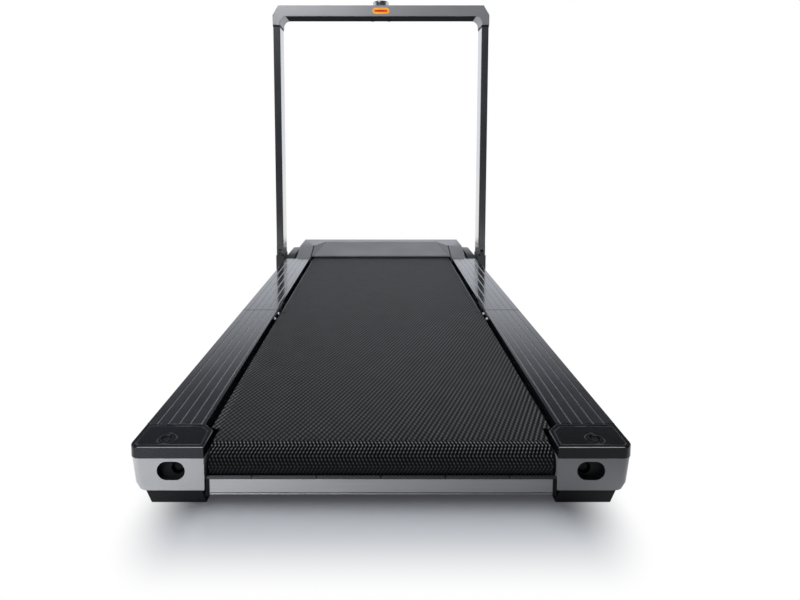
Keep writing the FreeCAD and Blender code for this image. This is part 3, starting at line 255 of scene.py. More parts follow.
# Zinc-plated steel: a bright metal with faint stains a few millimetres across.
zinc, shader = new_material("zinc_plated_steel", Metallic=1.0)
where = add_node(zinc, "TexCoord").outputs["Object"]
stain = add_node(zinc, "TexNoise", {"Scale": 160.0, "Detail": 4.0}, {"Vector": where})
tint = add_node(zinc, "ValToRGB", links={"Fac": stain.outputs["Fac"]},
                stops=[(0.3, "#8e9093"), (0.7, "#a6a8ab")])
sheen = add_node(zinc, "MapRange", {"To Min": 0.20, "To Max": 0.36}, {"Value": stain.outputs["Fac"]})
plug(zinc, shader, Base_Color=tint.outputs["Color"], Roughness=sheen.outputs["Result"])
dress("rear_axle", "rear_frame", "steel", zinc, AXLE_EDGE)
dress("front_axle", "front_frame", "steel", zinc, AXLE_EDGE)

# Walking belt. An endless PVC belt 2 mm thick, embossed all over with raised grains for grip. It is
# welded into a loop, runs flat over the boards and round the rollers, and bends at the deck's fold.
belt_low, belt_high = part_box("walking_belt")
BELT_HALF = (belt_high[0] - belt_low[0]) / 2
BELT_RADIUS = (belt_high[2] - belt_low[2]) / 2
BELT_Z = (belt_low[2] + belt_high[2]) / 2
BELT_REAR = belt_low[1] + BELT_RADIUS
BELT_FRONT = belt_high[1] - BELT_RADIUS
BELT_THICK = 0.002
FOLD_Y = -0.118
FOLD_ZONE = 0.006
FOLD_STEPS = 28
FLAT_STEP = 0.06
GRAIN_ACROSS = 0.0052
GRAIN_ALONG = 0.0046
CHEVRON_RUN = 0.0138
CHEVRON_LEAN = 0.50
ROW_TURNS = (137.0, -64.0)
BEAD_TURNS = (117.0, 102.0)
WRAP_END = 0.036


def select(piece, kind, test):
    """In edit mode, select the vertices or faces whose middle (and, on faces, normal) pass a test."""
    bpy.ops.mesh.select_mode(type=kind)
    bpy.ops.mesh.select_all(action="DESELECT")
    bpy.ops.object.mode_set(mode="OBJECT")
    for vertex in piece.data.vertices if kind == "VERT" else ():
        vertex.select = test(vertex.co)
    for face in piece.data.polygons if kind == "FACE" else ():
        face.select = test(face.center, face.normal)
    bpy.ops.object.mode_set(mode="EDIT")


bpy.ops.object.select_all(action="DESELECT")
bpy.ops.mesh.primitive_circle_add(vertices=72, radius=BELT_RADIUS, location=(-BELT_HALF, 0, BELT_Z),
                                  rotation=(0, math.pi / 2, 0))
belt = bpy.context.active_object
belt.name = "belt_loop"
bpy.ops.object.transform_apply(location=True, rotation=True, scale=True)
bpy.ops.object.mode_set(mode="EDIT")
select(belt, "VERT", lambda v: v.y > 0.0005)
bpy.ops.transform.translate(value=(0, BELT_FRONT, 0))
select(belt, "VERT", lambda v: v.y < 0.0005)
bpy.ops.transform.translate(value=(0, BELT_REAR, 0))
bpy.ops.mesh.select_all(action="SELECT")
bpy.ops.mesh.extrude_edges_move(TRANSFORM_OT_translate={"value": (2 * BELT_HALF, 0, 0)})
cuts = [FOLD_Y - FOLD_ZONE + 2 * FOLD_ZONE * i / FOLD_STEPS for i in range(FOLD_STEPS + 1)]
cuts += [BELT_REAR + FLAT_STEP * i for i in range(1, 20)]
for cut in cuts:
    bpy.ops.mesh.select_all(action="SELECT")
    bpy.ops.mesh.bisect(plane_co=(0, cut, 0), plane_no=(0, 1, 0))
bpy.ops.mesh.select_all(action="SELECT")
bpy.ops.mesh.remove_doubles(threshold=0.00002)
bpy.ops.mesh.normals_make_consistent(inside=False)
bpy.ops.object.mode_set(mode="OBJECT")


def belt_run(y, z):
    """Length along the loop from the middle of the rear wrap, over the top to the bottom run's end."""
    turn = math.pi * BELT_RADIUS
    if y < BELT_REAR:
        return BELT_RADIUS * math.atan2(z - BELT_Z, BELT_REAR - y)
    if y > BELT_FRONT:
        return turn / 2 + (BELT_FRONT - BELT_REAR) + BELT_RADIUS * math.atan2(y - BELT_FRONT, z - BELT_Z)
    if z > BELT_Z:
        return turn / 2 + (y - BELT_REAR)
    return turn / 2 + (BELT_FRONT - BELT_REAR) + turn + (BELT_FRONT - y)


length = 2 * (BELT_FRONT - BELT_REAR) + 2 * math.pi * BELT_RADIUS
chart = belt.data.uv_layers.new(name="BeltMap")
for face in belt.data.polygons:
    runs = [belt_run(*belt.data.vertices[i].co[1:]) for i in face.vertices]
    for corner, vertex, run in zip(face.loop_indices, face.vertices, runs):
        if max(runs) - min(runs) > length / 2 and run < length / 2:
            run += length
        chart.data[corner].uv = (belt.data.vertices[vertex].co.x, run)
thickness = belt.modifiers.new("Thickness", "SOLIDIFY")
thickness.thickness = BELT_THICK
thickness.offset = -1
apply_all(belt)
bpy.ops.object.shade_smooth_by_angle(angle=math.radians(35))

# PVC, embossed while hot: satin black, with raised grains. Their crests are painted light grey over the
# black ground, lightest round the rear roller: a painted highlight. On the flat the grains stand in
# slanting rows 6.6 mm apart. Round the rear roller the rows stand 5.2 mm apart, and lean one way and
# then the other.
pvc, shader = new_material("embossed_pvc", IOR=1.53)
chart_node = add_node(pvc, "UVMap", uv_map="BeltMap")
spot = add_node(pvc, "SeparateXYZ", links={"Vector": chart_node.outputs["UV"]})
zigzag = add_node(pvc, "Math", {1: CHEVRON_RUN}, {0: spot.outputs["Y"]}, operation="PINGPONG")
across = add_node(pvc, "Math", {1: CHEVRON_LEAN}, {0: zigzag.outputs[0], 2: spot.outputs["X"]},
                  operation="MULTIPLY_ADD")
turns = [add_node(pvc, "Math", {1: 2 * math.pi / pitch}, {0: socket}, operation="MULTIPLY")
         for pitch, socket in ((GRAIN_ACROSS, across.outputs[0]), (GRAIN_ALONG, spot.outputs["Y"]))]
waves = [add_node(pvc, "Math", links={0: turn.outputs[0]}, operation="COSINE") for turn in turns]
beads = add_node(pvc, "Math", {1: 0.20, 2: 0.33}, {0: waves[1].outputs[0]}, operation="MULTIPLY_ADD")
spread = add_node(pvc, "Math", {1: 0.44}, {0: waves[0].outputs[0], 2: beads.outputs[0]},
                  operation="MULTIPLY_ADD")
rows = []
for turn_x, turn_y in (ROW_TURNS, BEAD_TURNS):
    climb = add_node(pvc, "Math", {1: 2 * math.pi * turn_y}, {0: spot.outputs["Y"]}, operation="MULTIPLY")
    slant = add_node(pvc, "Math", {1: 2 * math.pi * turn_x}, {0: spot.outputs["X"], 2: climb.outputs[0]},
                     operation="MULTIPLY_ADD")
    rows.append(add_node(pvc, "Math", links={0: slant.outputs[0]}, operation="COSINE"))
ridge = add_node(pvc, "Math", {1: 0.15, 2: 0.44}, {0: rows[0].outputs[0]}, operation="MULTIPLY_ADD")
flat = add_node(pvc, "Math", {1: 0.06}, {0: rows[1].outputs[0], 2: ridge.outputs[0]},
                operation="MULTIPLY_ADD")
wrap = add_node(pvc, "Math", {1: WRAP_END}, {0: spot.outputs["Y"]}, operation="LESS_THAN")
change = add_node(pvc, "Math", links={0: spread.outputs[0], 1: flat.outputs[0]}, operation="SUBTRACT")
grains = add_node(pvc, "Math", links={0: wrap.outputs[0], 1: change.outputs[0], 2: flat.outputs[0]},
                  operation="MULTIPLY_ADD")
dome = add_node(pvc, "ValToRGB", links={"Fac": grains.outputs[0]},
                stops=[(0.05, "#000000"), (0.80, "#ffffff")])
rub = add_node(pvc, "TexNoise", {"Scale": 26.0, "Detail": 5.0}, {"Vector": chart_node.outputs["UV"]})
# Painted highlight: the grains' crests are coloured light grey, lightest round the rear roller.
tint = add_node(pvc, "ValToRGB", links={"Fac": grains.outputs[0]},
                stops=[(0.42, "#030304"), (0.80, "#75777c"), (1.0, "#dcdfe4")])
soil = add_node(pvc, "ValToRGB", links={"Fac": rub.outputs["Fac"]},
                stops=[(0.3, "#dcdcdc"), (0.7, "#ffffff")])
colour = add_node(pvc, "Mix", {"Factor": 1.0}, {"A": tint.outputs["Color"], "B": soil.outputs["Color"]},
                  data_type="RGBA", blend_type="MULTIPLY")
sheen = add_node(pvc, "MapRange", {"To Min": 0.75, "To Max": 0.40}, {"Value": grains.outputs[0]})
relief = add_node(pvc, "Bump", {"Strength": 0.9, "Distance": 0.0007}, {"Height": dome.outputs["Color"]})
plug(pvc, shader, Base_Color=colour.outputs["Result"], Roughness=sheen.outputs["Result"],
     Normal=relief.outputs["Normal"])
belt.data.materials.append(pvc)
belt_top = BELT_Z + BELT_RADIUS
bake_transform(belt)
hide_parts("walking_belt")

# Belt runners. Flat PVC edging glued on the boards close beside the belt, embossed with the same rows,
# so that belt and edging read as one surface. On the front board it leaves room for the highlight strips.
RUNNER_GAP = 0.0004
RUNNER_REACH = {"front": 0.2500, "rear": 0.2530}
RUNNER_DROP = 0.0003
RUNNER_EDGE = 0.0003
runner_inner = BELT_HALF + RUNNER_GAP
for half, reach in RUNNER_REACH.items():
    board_low, board_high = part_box(half + "_deck_board")
    thick = belt_top - RUNNER_DROP - board_high[2]
    for side, way in (("left", -1), ("right", 1)):
        bpy.ops.object.select_all(action="DESELECT")
        bpy.ops.mesh.primitive_cube_add(
            size=1, scale=(reach - runner_inner, board_high[1] - board_low[1], thick),
            location=(way * (runner_inner + reach) / 2, (board_low[1] + board_high[1]) / 2,
                      board_high[2] + thick / 2))
        runner = bpy.context.active_object
        runner.name = f"{side}_{half}_belt_runner"
        bpy.ops.object.transform_apply(location=True, rotation=True, scale=True)
        soften(runner, RUNNER_EDGE)
        chart = runner.data.uv_layers.new(name="BeltMap")
        for loop in runner.data.loops:
            point = runner.data.vertices[loop.vertex_index].co
            chart.data[loop.index].uv = (point.x, belt_run(point.y, belt_top))
        place(runner, half + "_frame", "belt_rubber", pvc)

# Hinges of the folding deck. Pressed steel leaves screwed to the rails' inner sides, their knuckles
# turning on short pins. The screws of the rear leaves are plated. Those of the front leaves are the same
# fasteners, given black oxide as painted shade so that they stay dark.
LEAF_EDGE = 0.0004
HINGE_PIN_EDGE = 0.0003
LEAF_SCREW_EDGE = 0.0006
for half in ("front", "rear"):
    dress(half + "_hinge_leaves", half + "_frame", "black_steel", oxide, LEAF_EDGE)
dress("deck_hinge_pins", "front_frame", "steel", zinc, HINGE_PIN_EDGE)

# Zinc plating, fresh: pale and a little milky, so that the heads stay light in the dark gap.
milky, shader = new_material("fresh_zinc_plating", Metallic=0.3, IOR=1.5)
where = add_node(milky, "TexCoord").outputs["Object"]
stain = add_node(milky, "TexNoise", {"Scale": 300.0, "Detail": 3.0}, {"Vector": where})
tint = add_node(milky, "ValToRGB", links={"Fac": stain.outputs["Fac"]},
                stops=[(0.3, "#e2e3e5"), (0.7, "#f0f1f2")])
sheen = add_node(milky, "MapRange", {"To Min": 0.25, "To Max": 0.40}, {"Value": stain.outputs["Fac"]})
plug(milky, shader, Base_Color=tint.outputs["Color"], Roughness=sheen.outputs["Result"])
dress("rear_leaf_screws", "rear_frame", "steel", milky, LEAF_SCREW_EDGE, 3)
# Painted shade: the front leaf screws get black oxide, though they match the rear ones.
dress("front_leaf_screws", "front_frame", "black_steel", oxide, LEAF_SCREW_EDGE, 3)

# Tread strips. Channels moulded from black ABS, clipped over the rails for the feet to stand on, with
# five lengthwise grooves against slipping.
TREAD_EDGE = 0.0004
GROOVE_MARGIN = 0.004
tread_low, tread_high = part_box("right_rear_tread")

# Moulded ABS, black: a smooth skin that mirrors the room at a low angle, with a fine mould grain drawn
# 0.7 mm wide and faint clouding from the flow of the melt. The grooves are painted light grey below the
# top and show as fine light lines: a painted highlight.
tread_abs, shader = new_material("moulded_abs_black", IOR=1.55, Coat_Weight=0.8, Coat_Roughness=0.08)
where = add_node(tread_abs, "TexCoord").outputs["Object"]
grit = add_node(tread_abs, "TexNoise", {"Scale": 1400.0, "Detail": 2.0}, {"Vector": where})
cloud = add_node(tread_abs, "TexNoise", {"Scale": 14.0, "Detail": 4.0}, {"Vector": where})
tint = add_node(tread_abs, "ValToRGB", links={"Fac": cloud.outputs["Fac"]},
                stops=[(0.35, "#15171b"), (0.7, "#1c1e23")])
sheen = add_node(tread_abs, "MapRange", {"To Min": 0.14, "To Max": 0.24}, {"Value": cloud.outputs["Fac"]})
relief = add_node(tread_abs, "Bump", {"Strength": 0.06, "Distance": 0.0002}, {"Height": grit.outputs["Fac"]})
spot = add_node(tread_abs, "SeparateXYZ", links={"Vector": where})
# Painted highlight: the grooves, below the tread's top, are coloured light grey.
aside = add_node(tread_abs, "Math", links={0: spot.outputs["X"]}, operation="ABSOLUTE")
inside = add_node(tread_abs, "Math", {1: (tread_low[0] + tread_high[0]) / 2,
                                      2: (tread_high[0] - tread_low[0]) / 2 - GROOVE_MARGIN},
                  {0: aside.outputs[0]}, operation="COMPARE")
sunk = add_node(tread_abs, "MapRange",
                {"From Min": tread_high[2] - 0.0004, "From Max": tread_high[2] - 0.0007},
                {"Value": spot.outputs["Z"]})
groove_painted_highlight = add_node(tread_abs, "Math", links={0: inside.outputs[0], 1: sunk.outputs["Result"]},
                       operation="MULTIPLY")
colour = add_node(tread_abs, "Mix", {"B": linear("#55585d")},
                  {"Factor": groove_painted_highlight.outputs[0], "A": tint.outputs["Color"]}, data_type="RGBA")
plug(tread_abs, shader, Base_Color=colour.outputs["Result"], Roughness=sheen.outputs["Result"],
     Normal=relief.outputs["Normal"])
for half in ("front", "rear"):
    for side in ("left", "right"):
        dress(f"{side}_{half}_tread", half + "_frame", "tread_plastic", tread_abs, TREAD_EDGE)

# Rear end caps. ABS mouldings pushed into the rails' rear ends, painted silver, with a round-ended
# recess in the rear face for the key that sets the belt's tension.
CAP_EDGE = 0.0016

# Silver paint on ABS: fine flake under a satin lacquer. The flake is drawn 0.6 mm across so that it
# shows.
silver, shader = new_material("silver_painted_abs", Metallic=0.35, IOR=1.5, Coat_Weight=0.15,
                              Coat_Roughness=0.2)
where = add_node(silver, "TexCoord").outputs["Object"]
flake = add_node(silver, "TexVoronoi", {"Scale": 1700.0}, {"Vector": where})
drift = add_node(silver, "TexNoise", {"Scale": 20.0, "Detail": 3.0}, {"Vector": where})
tint = add_node(silver, "ValToRGB", links={"Fac": flake.outputs["Distance"]},
                stops=[(0.1, "#b9bbbe"), (0.8, "#a9abae")])
sheen = add_node(silver, "MapRange", {"To Min": 0.34, "To Max": 0.46}, {"Value": drift.outputs["Fac"]})
plug(silver, shader, Base_Color=tint.outputs["Color"], Roughness=sheen.outputs["Result"])
for side in ("left", "right"):
    dress(side + "_end_cap", "rear_frame", "cap_plastic", silver, CAP_EDGE, 3)

# Recess liners. Thin cups moulded from black nylon and pressed into the caps' recesses, each with the
# round key hole. The tension screws stand at the bottom of the holes.
RECESS_LOW = (0.2710, -0.6999, 0.0335)
RECESS_HIGH = (0.3110, -0.6838, 0.0615)
LINER_THICK = 0.0004
HOLE_Y = -0.6918
TENSION_EDGE = 0.0005

# Moulded nylon: dull black, with a fine grain about 1.5 mm across on the recess. Down in the key hole it
# is painted an even near black, painted shade; the same painted shade reaches the nylon pieces further
# forward.
nylon, shader = new_material("black_nylon", IOR=1.53)
where = add_node(nylon, "TexCoord").outputs["Object"]
grit = add_node(nylon, "TexNoise", {"Scale": 700.0, "Detail": 2.0}, {"Vector": where})
tint = add_node(nylon, "ValToRGB", links={"Fac": grit.outputs["Fac"]},
                stops=[(0.3, "#0b0c0e"), (0.7, "#121416")])
spot = add_node(nylon, "SeparateXYZ", links={"Vector": where})
# Painted shade: past the key hole's mouth the nylon turns near black.
deep = add_node(nylon, "MapRange", {"From Min": HOLE_Y - 0.0004, "From Max": HOLE_Y + 0.0004},
                {"Value": spot.outputs["Y"]})
colour = add_node(nylon, "Mix", {"B": linear("#010101")},
                  {"Factor": deep.outputs["Result"], "A": tint.outputs["Color"]}, data_type="RGBA")
sheen = add_node(nylon, "MapRange", {"To Min": 0.55, "To Max": 0.75}, {"Value": grit.outputs["Fac"]})
plug(nylon, shader, Base_Color=colour.outputs["Result"], Roughness=sheen.outputs["Result"])
for side, way in (("left", -1), ("right", 1)):
    liner = merged_copy(side + "_end_cap")
    liner.name = side + "_recess_liner"
    bpy.ops.object.mode_set(mode="EDIT")
    select(liner, "FACE", lambda c, n: not all(a < v < b for a, v, b in
                                               zip(RECESS_LOW, (way * c.x, c.y, c.z), RECESS_HIGH)))
    bpy.ops.mesh.delete(type="FACE")
    bpy.ops.object.mode_set(mode="OBJECT")
    wall = liner.modifiers.new("Wall", "SOLIDIFY")
    wall.thickness = LINER_THICK
    wall.offset = 1
    apply_all(liner)
    bpy.ops.object.shade_smooth_by_angle(angle=math.radians(35))
    place(liner, "rear_frame", "inner_plastic", nylon)
dress("tension_screws", "rear_frame", "steel", oxide, TENSION_EDGE)

# Cap lids. Glossy black ABS covers on top of the end caps, with a fine line moulded round the top a
# little inside its edge. One screw in a round sink holds each.
LID_EDGE = 0.0012
LINE_INSET = 0.0045
LINE_WIDTH = 0.0008
lids = merged_copy("cap_lids")
lid_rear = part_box("cap_lids")[0][1]
lid_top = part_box("cap_lids")[1][2]
bpy.ops.object.mode_set(mode="EDIT")
select(lids, "FACE", lambda c, n: n.z > 0.99 and c.z > lid_top - 0.0002)
bpy.ops.mesh.inset(thickness=LINE_INSET, depth=0)
bpy.ops.mesh.inset(thickness=LINE_WIDTH, depth=-LINE_WIDTH)
bpy.ops.mesh.inset(thickness=LINE_WIDTH, depth=LINE_WIDTH)
bpy.ops.object.mode_set(mode="OBJECT")

# Moulded ABS, polished mould: deep black gloss, dulled a little by fine scuffs some millimetres long.
# The rear face is painted a little lighter: painted light.
lid_abs, shader = new_material("polished_abs_black", IOR=1.5)
where = add_node(lid_abs, "TexCoord").outputs["Object"]
scuff = add_node(lid_abs, "TexNoise", {"Scale": 240.0, "Detail": 6.0, "Distortion": 1.5}, {"Vector": where})
spot = add_node(lid_abs, "SeparateXYZ", links={"Vector": where})
# Painted light: the rear face is lightened in colour.
rear = add_node(lid_abs, "MapRange",
                {"From Min": lid_rear + 0.0008, "From Max": lid_rear + 0.0002, "To Max": 0.6},
                {"Value": spot.outputs["Y"]})
shade = add_node(lid_abs, "Math", {1: 0.4}, {0: scuff.outputs["Fac"], 2: rear.outputs["Result"]},
                 operation="MULTIPLY_ADD")
tint = add_node(lid_abs, "ValToRGB", links={"Fac": shade.outputs[0]},
                stops=[(0.12, "#0e0f12"), (0.30, "#15171a"), (0.85, "#2c2e32")])
sheen = add_node(lid_abs, "MapRange", {"To Min": 0.12, "To Max": 0.20}, {"Value": scuff.outputs["Fac"]})
plug(lid_abs, shader, Base_Color=tint.outputs["Color"], Roughness=sheen.outputs["Result"])
place(soften(lids, LID_EDGE, 3), "rear_frame", "lid_plastic", lid_abs, "cap_lids")

# Cap screws. Steel screws with a low slotted head, turned and blackened. One in each lid's sink holds
# the lid to its cap.
CAP_SCREW_EDGE = 0.0003
SLOT_HALF = 0.0006
SLOT_DEEP = 0.0009


def slotted_heads(node, axis, edge):
    """Merged copy of plain round heads facing down an axis, with a screwdriver slot cut across each."""
    piece = merged_copy(node)
    low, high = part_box(node)
    face = high[2] if axis == 1 else low[2]
    middle = (low[1] + high[1]) / 2
    bpy.ops.object.mode_set(mode="EDIT")
    for side in (-SLOT_HALF, SLOT_HALF):
        bpy.ops.mesh.select_all(action="SELECT")
        bpy.ops.mesh.bisect(plane_co=(0, middle + side, 0), plane_no=(0, 1, 0))
    select(piece, "FACE", lambda c, n: n.z * axis > 0.9 and abs(c.z - face) < 0.0002
           and abs(c.y - middle) < SLOT_HALF)
    bpy.ops.mesh.extrude_region_move(TRANSFORM_OT_translate={"value": (0, 0, -axis * SLOT_DEEP)})
    bpy.ops.object.mode_set(mode="OBJECT")
    return soften(piece, edge)


place(slotted_heads("cap_screws", 1, CAP_SCREW_EDGE), "rear_frame", "black_steel", oxide, "cap_screws")

# Feet. Rubber blocks moulded with sloping sides. They are screwed under the end caps and the front rails
# and stand on the floor.
FOOT_EDGE = 0.0012
dress("rear_feet", "rear_frame", "rubber", rubber, FOOT_EDGE, 3)
dress("front_feet", "front_frame", "rubber", rubber, FOOT_EDGE, 3)

# Rear bar. An angle folded from steel sheet and sprayed silver, with a line pressed along its foot. It
# is screwed between the end caps.
BAR_EDGE = 0.0007
CREASE_RISE = 0.0022
CREASE_HALF = 0.0006
bar_low, bar_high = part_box("rear_bar")

# Sprayed steel: silver lacquer with fine lines along the bar, drawn 1 mm apart so that they show. The
# pressed line is painted dark: painted shade in the groove.
spray, shader = new_material("silver_sprayed_steel", Metallic=0.4)
where = add_node(spray, "TexCoord").outputs["Object"]
along = add_node(spray, "Mapping", {"Scale": (0.01, 1.0, 1.0)}, {"Vector": where})
lines = add_node(spray, "TexNoise", {"Scale": 1000.0, "Detail": 2.0}, {"Vector": along.outputs["Vector"]})
tint = add_node(spray, "ValToRGB", links={"Fac": lines.outputs["Fac"]},
                stops=[(0.3, "#babcbf"), (0.7, "#c5c7ca")])
sheen = add_node(spray, "MapRange", {"To Min": 0.30, "To Max": 0.42}, {"Value": lines.outputs["Fac"]})
spot = add_node(spray, "SeparateXYZ", links={"Vector": where})
# Painted shade: a dark band at the height of the pressed line.
painted_line_shade = add_node(spray, "Math", {1: bar_low[2] + CREASE_RISE, 2: CREASE_HALF}, {0: spot.outputs["Z"]},
                  operation="COMPARE")
colour = add_node(spray, "Mix", {"B": linear("#17181a")},
                  {"Factor": painted_line_shade.outputs[0], "A": tint.outputs["Color"]}, data_type="RGBA")
plug(spray, shader, Base_Color=colour.outputs["Result"], Roughness=sheen.outputs["Result"])
dress("rear_bar", "rear_frame", "silver_paint", spray, BAR_EDGE, 3)

# Bar shoes. Thin plates moulded from black nylon and clipped over the bar's ends, where it butts against
# the caps.
SHOE_WIDTH = 0.0055
SHOE_THICK = 0.0008
SHOE_EDGE = 0.0003
for side, way in (("left", -1), ("right", 1)):
    bpy.ops.object.select_all(action="DESELECT")
    bpy.ops.mesh.primitive_cube_add(
        size=1, scale=(SHOE_WIDTH, SHOE_THICK, bar_high[2] - bar_low[2] + 2 * SHOE_THICK),
        location=(way * (bar_high[0] - SHOE_WIDTH / 2), bar_low[1] - SHOE_THICK / 2,
                  (bar_low[2] + bar_high[2]) / 2))
    shoe = bpy.context.active_object
    shoe.name = side + "_bar_shoe"
    bpy.ops.object.transform_apply(location=True, rotation=True, scale=True)
    bpy.ops.object.mode_set(mode="EDIT")
    select(shoe, "FACE", lambda c, n: n.z < -0.9)
    bpy.ops.mesh.extrude_region_move(TRANSFORM_OT_translate={"value": (0, 0, -SHOE_THICK)})
    select(shoe, "FACE", lambda c, n: n.y > 0.9 and c.z < bar_low[2] - SHOE_THICK)
    bpy.ops.mesh.extrude_region_move(TRANSFORM_OT_translate={"value": (0, 4 * SHOE_THICK, 0)})
    bpy.ops.object.mode_set(mode="OBJECT")
    place(soften(shoe, SHOE_EDGE), "rear_frame", "inner_plastic", nylon)

# Comb guard. A strip moulded from grey nylon along the bar's top, slit at regular places, that closes
# the gap below the belt.
COMB_EDGE = 0.0003

# Moulded nylon, grey: lighter than the black one, so that the slits show, with the same fine grain.
grey_nylon, shader = new_material("grey_nylon", IOR=1.53)
where = add_node(grey_nylon, "TexCoord").outputs["Object"]
grit = add_node(grey_nylon, "TexNoise", {"Scale": 700.0, "Detail": 2.0}, {"Vector": where})
tint = add_node(grey_nylon, "ValToRGB", links={"Fac": grit.outputs["Fac"]},
                stops=[(0.3, "#3c3d40"), (0.7, "#484a4d")])
sheen = add_node(grey_nylon, "MapRange", {"To Min": 0.45, "To Max": 0.60}, {"Value": grit.outputs["Fac"]})
plug(grey_nylon, shader, Base_Color=tint.outputs["Color"], Roughness=sheen.outputs["Result"])
dress("rear_guard", "rear_frame", "inner_plastic", grey_nylon, COMB_EDGE)

# Drive. A tray folded from steel carries the motor and its controller under the hood. The motor's pulley
# turns the front roller's pulley through a ribbed rubber belt.
TRAY_EDGE = 0.0008
ROTOR_EDGE = 0.0004
PULLEY_EDGE = 0.0005
DRIVE_BELT_EDGE = 0.0004
CONTROLLER_EDGE = 0.0006
for node in ("motor_tray", "motor_body"):
    dress(node, "front_frame", "black_steel", oxide, TRAY_EDGE)
dress("motor_rotor", "motor_rotor", "steel", zinc, ROTOR_EDGE)
dress("roller_pulley", "drive_roller", "inner_plastic", nylon, PULLEY_EDGE)
dress("drive_belt", "front_frame", "rubber", rubber, DRIVE_BELT_EDGE)
dress("motor_controller", "front_frame", "rail_alloy", anodised, CONTROLLER_EDGE)

# Motor hood. A ramped ABS cover over the drive with a sunk lid, both moulded in grey, clipped to the
# tray and screwed from below.
HOOD_EDGE = 0.0014
HOOD_LID_EDGE = 0.0010

# Moulded ABS, grey: satin skin with a fine mould grain, drawn 0.9 mm wide, and faint flow clouds.
hood_abs, shader = new_material("moulded_abs_grey", IOR=1.54)
where = add_node(hood_abs, "TexCoord").outputs["Object"]
grit = add_node(hood_abs, "TexNoise", {"Scale": 1100.0, "Detail": 2.0}, {"Vector": where})
cloud = add_node(hood_abs, "TexNoise", {"Scale": 12.0, "Detail": 4.0}, {"Vector": where})
tint = add_node(hood_abs, "ValToRGB", links={"Fac": cloud.outputs["Fac"]},
                stops=[(0.35, "#6e7074"), (0.7, "#787a7e")])
sheen = add_node(hood_abs, "MapRange", {"To Min": 0.28, "To Max": 0.42}, {"Value": cloud.outputs["Fac"]})
relief = add_node(hood_abs, "Bump", {"Strength": 0.08, "Distance": 0.0002}, {"Height": grit.outputs["Fac"]})
plug(hood_abs, shader, Base_Color=tint.outputs["Color"], Roughness=sheen.outputs["Result"],
     Normal=relief.outputs["Normal"])
dress("hood_cover", "front_frame", "hood_plastic", hood_abs, HOOD_EDGE, 3)
dress("hood_lid", "front_frame", "hood_plastic", hood_abs, HOOD_LID_EDGE, 3)

# Hood flanks. Dark ABS side pieces that carry the hood's line over the rails' front ends and hide the
# transport wheels. They are moulded like the hood and clipped to it.

# Moulded ABS, dark grey: the hood's satin skin in a darker tone, with the same fine grain and faint
# clouds.
flank_abs, shader = new_material("moulded_abs_dark", IOR=1.54)
where = add_node(flank_abs, "TexCoord").outputs["Object"]
grit = add_node(flank_abs, "TexNoise", {"Scale": 1100.0, "Detail": 2.0}, {"Vector": where})
cloud = add_node(flank_abs, "TexNoise", {"Scale": 16.0, "Detail": 4.0}, {"Vector": where})
tint = add_node(flank_abs, "ValToRGB", links={"Fac": cloud.outputs["Fac"]},
                stops=[(0.35, "#292b2f"), (0.7, "#33363b")])
sheen = add_node(flank_abs, "MapRange", {"To Min": 0.30, "To Max": 0.44}, {"Value": cloud.outputs["Fac"]})
relief = add_node(flank_abs, "Bump", {"Strength": 0.08, "Distance": 0.0002}, {"Height": grit.outputs["Fac"]})
plug(flank_abs, shader, Base_Color=tint.outputs["Color"], Roughness=sheen.outputs["Result"],
     Normal=relief.outputs["Normal"])
for side in ("left", "right"):
    dress(side + "_hood_flank", "front_frame", "flank_plastic", flank_abs, HOOD_EDGE, 3)

# Power inlet and switch. A three-pin inlet and a rocker switch in one housing, moulded from nylon and
# snapped into the nose.
INLET_EDGE = 0.0005
ROCKER_EDGE = 0.0008
dress("power_inlet", "front_frame", "inner_plastic", nylon, INLET_EDGE)
dress("power_switch", "power_switch", "inner_plastic", nylon, ROCKER_EDGE, 3)

# Transport wheels. Solid wheels moulded from rubber on steel stub axles. The folded pad is tilted and
# rolled away on them.
WHEEL_EDGE = 0.0020
STUB_EDGE = 0.0004
for side in ("left", "right"):
    dress(side + "_transport_wheel", side + "_transport_wheel", "rubber", rubber, WHEEL_EDGE, 3)
dress("wheel_axles", "front_frame", "steel", zinc, STUB_EDGE)

# Gantry bases and pins. ABS-covered brackets bolted to the rails' outer sides. A steel pin through each
# carries the gantry.
BASE_EDGE = 0.0020
GANTRY_PIN_EDGE = 0.0004
dress("gantry_bases", "front_frame", "flank_plastic", flank_abs, BASE_EDGE, 3)
dress("gantry_pins", "front_frame", "steel", zinc, GANTRY_PIN_EDGE)

# Uprights and their feet. Flat steel tubes on forked cast feet that turn on the pins, powder-coated in
# glossy charcoal.
UPRIGHT_EDGE = 0.0022

# Powder coat: charcoal with an orange peel drawn 2 mm wide and a clear gloss that turns bright at a low
# angle.
coat, shader = new_material("charcoal_powder_coat", IOR=1.5, Coat_Weight=0.6, Coat_Roughness=0.14)
where = add_node(coat, "TexCoord").outputs["Object"]
peel = add_node(coat, "TexNoise", {"Scale": 500.0, "Detail": 2.0}, {"Vector": where})
drift = add_node(coat, "TexNoise", {"Scale": 9.0, "Detail": 3.0}, {"Vector": where})
tint = add_node(coat, "ValToRGB", links={"Fac": drift.outputs["Fac"]},
                stops=[(0.35, "#424448"), (0.7, "#4d5054")])
sheen = add_node(coat, "MapRange", {"To Min": 0.26, "To Max": 0.38}, {"Value": peel.outputs["Fac"]})
relief = add_node(coat, "Bump", {"Strength": 0.05, "Distance": 0.0002}, {"Height": peel.outputs["Fac"]})
plug(coat, shader, Base_Color=tint.outputs["Color"], Roughness=sheen.outputs["Result"],
     Normal=relief.outputs["Normal"])
for node in ("upright_feet", "left_upright", "right_upright"):
    dress(node, "gantry", "dark_paint", coat, UPRIGHT_EDGE, 3)

# Inlays. Strips of bright anodised aluminium on the uprights' inner faces, standing in for the
# reflection those faces show: a painted reflection. They end a little below the crossbar.
INLAY_THICK = 0.0005
INLAY_BORDER = 0.004
INLAY_DROP = 0.0085
INLAY_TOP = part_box("crossbar_shell")[0][2] - INLAY_DROP

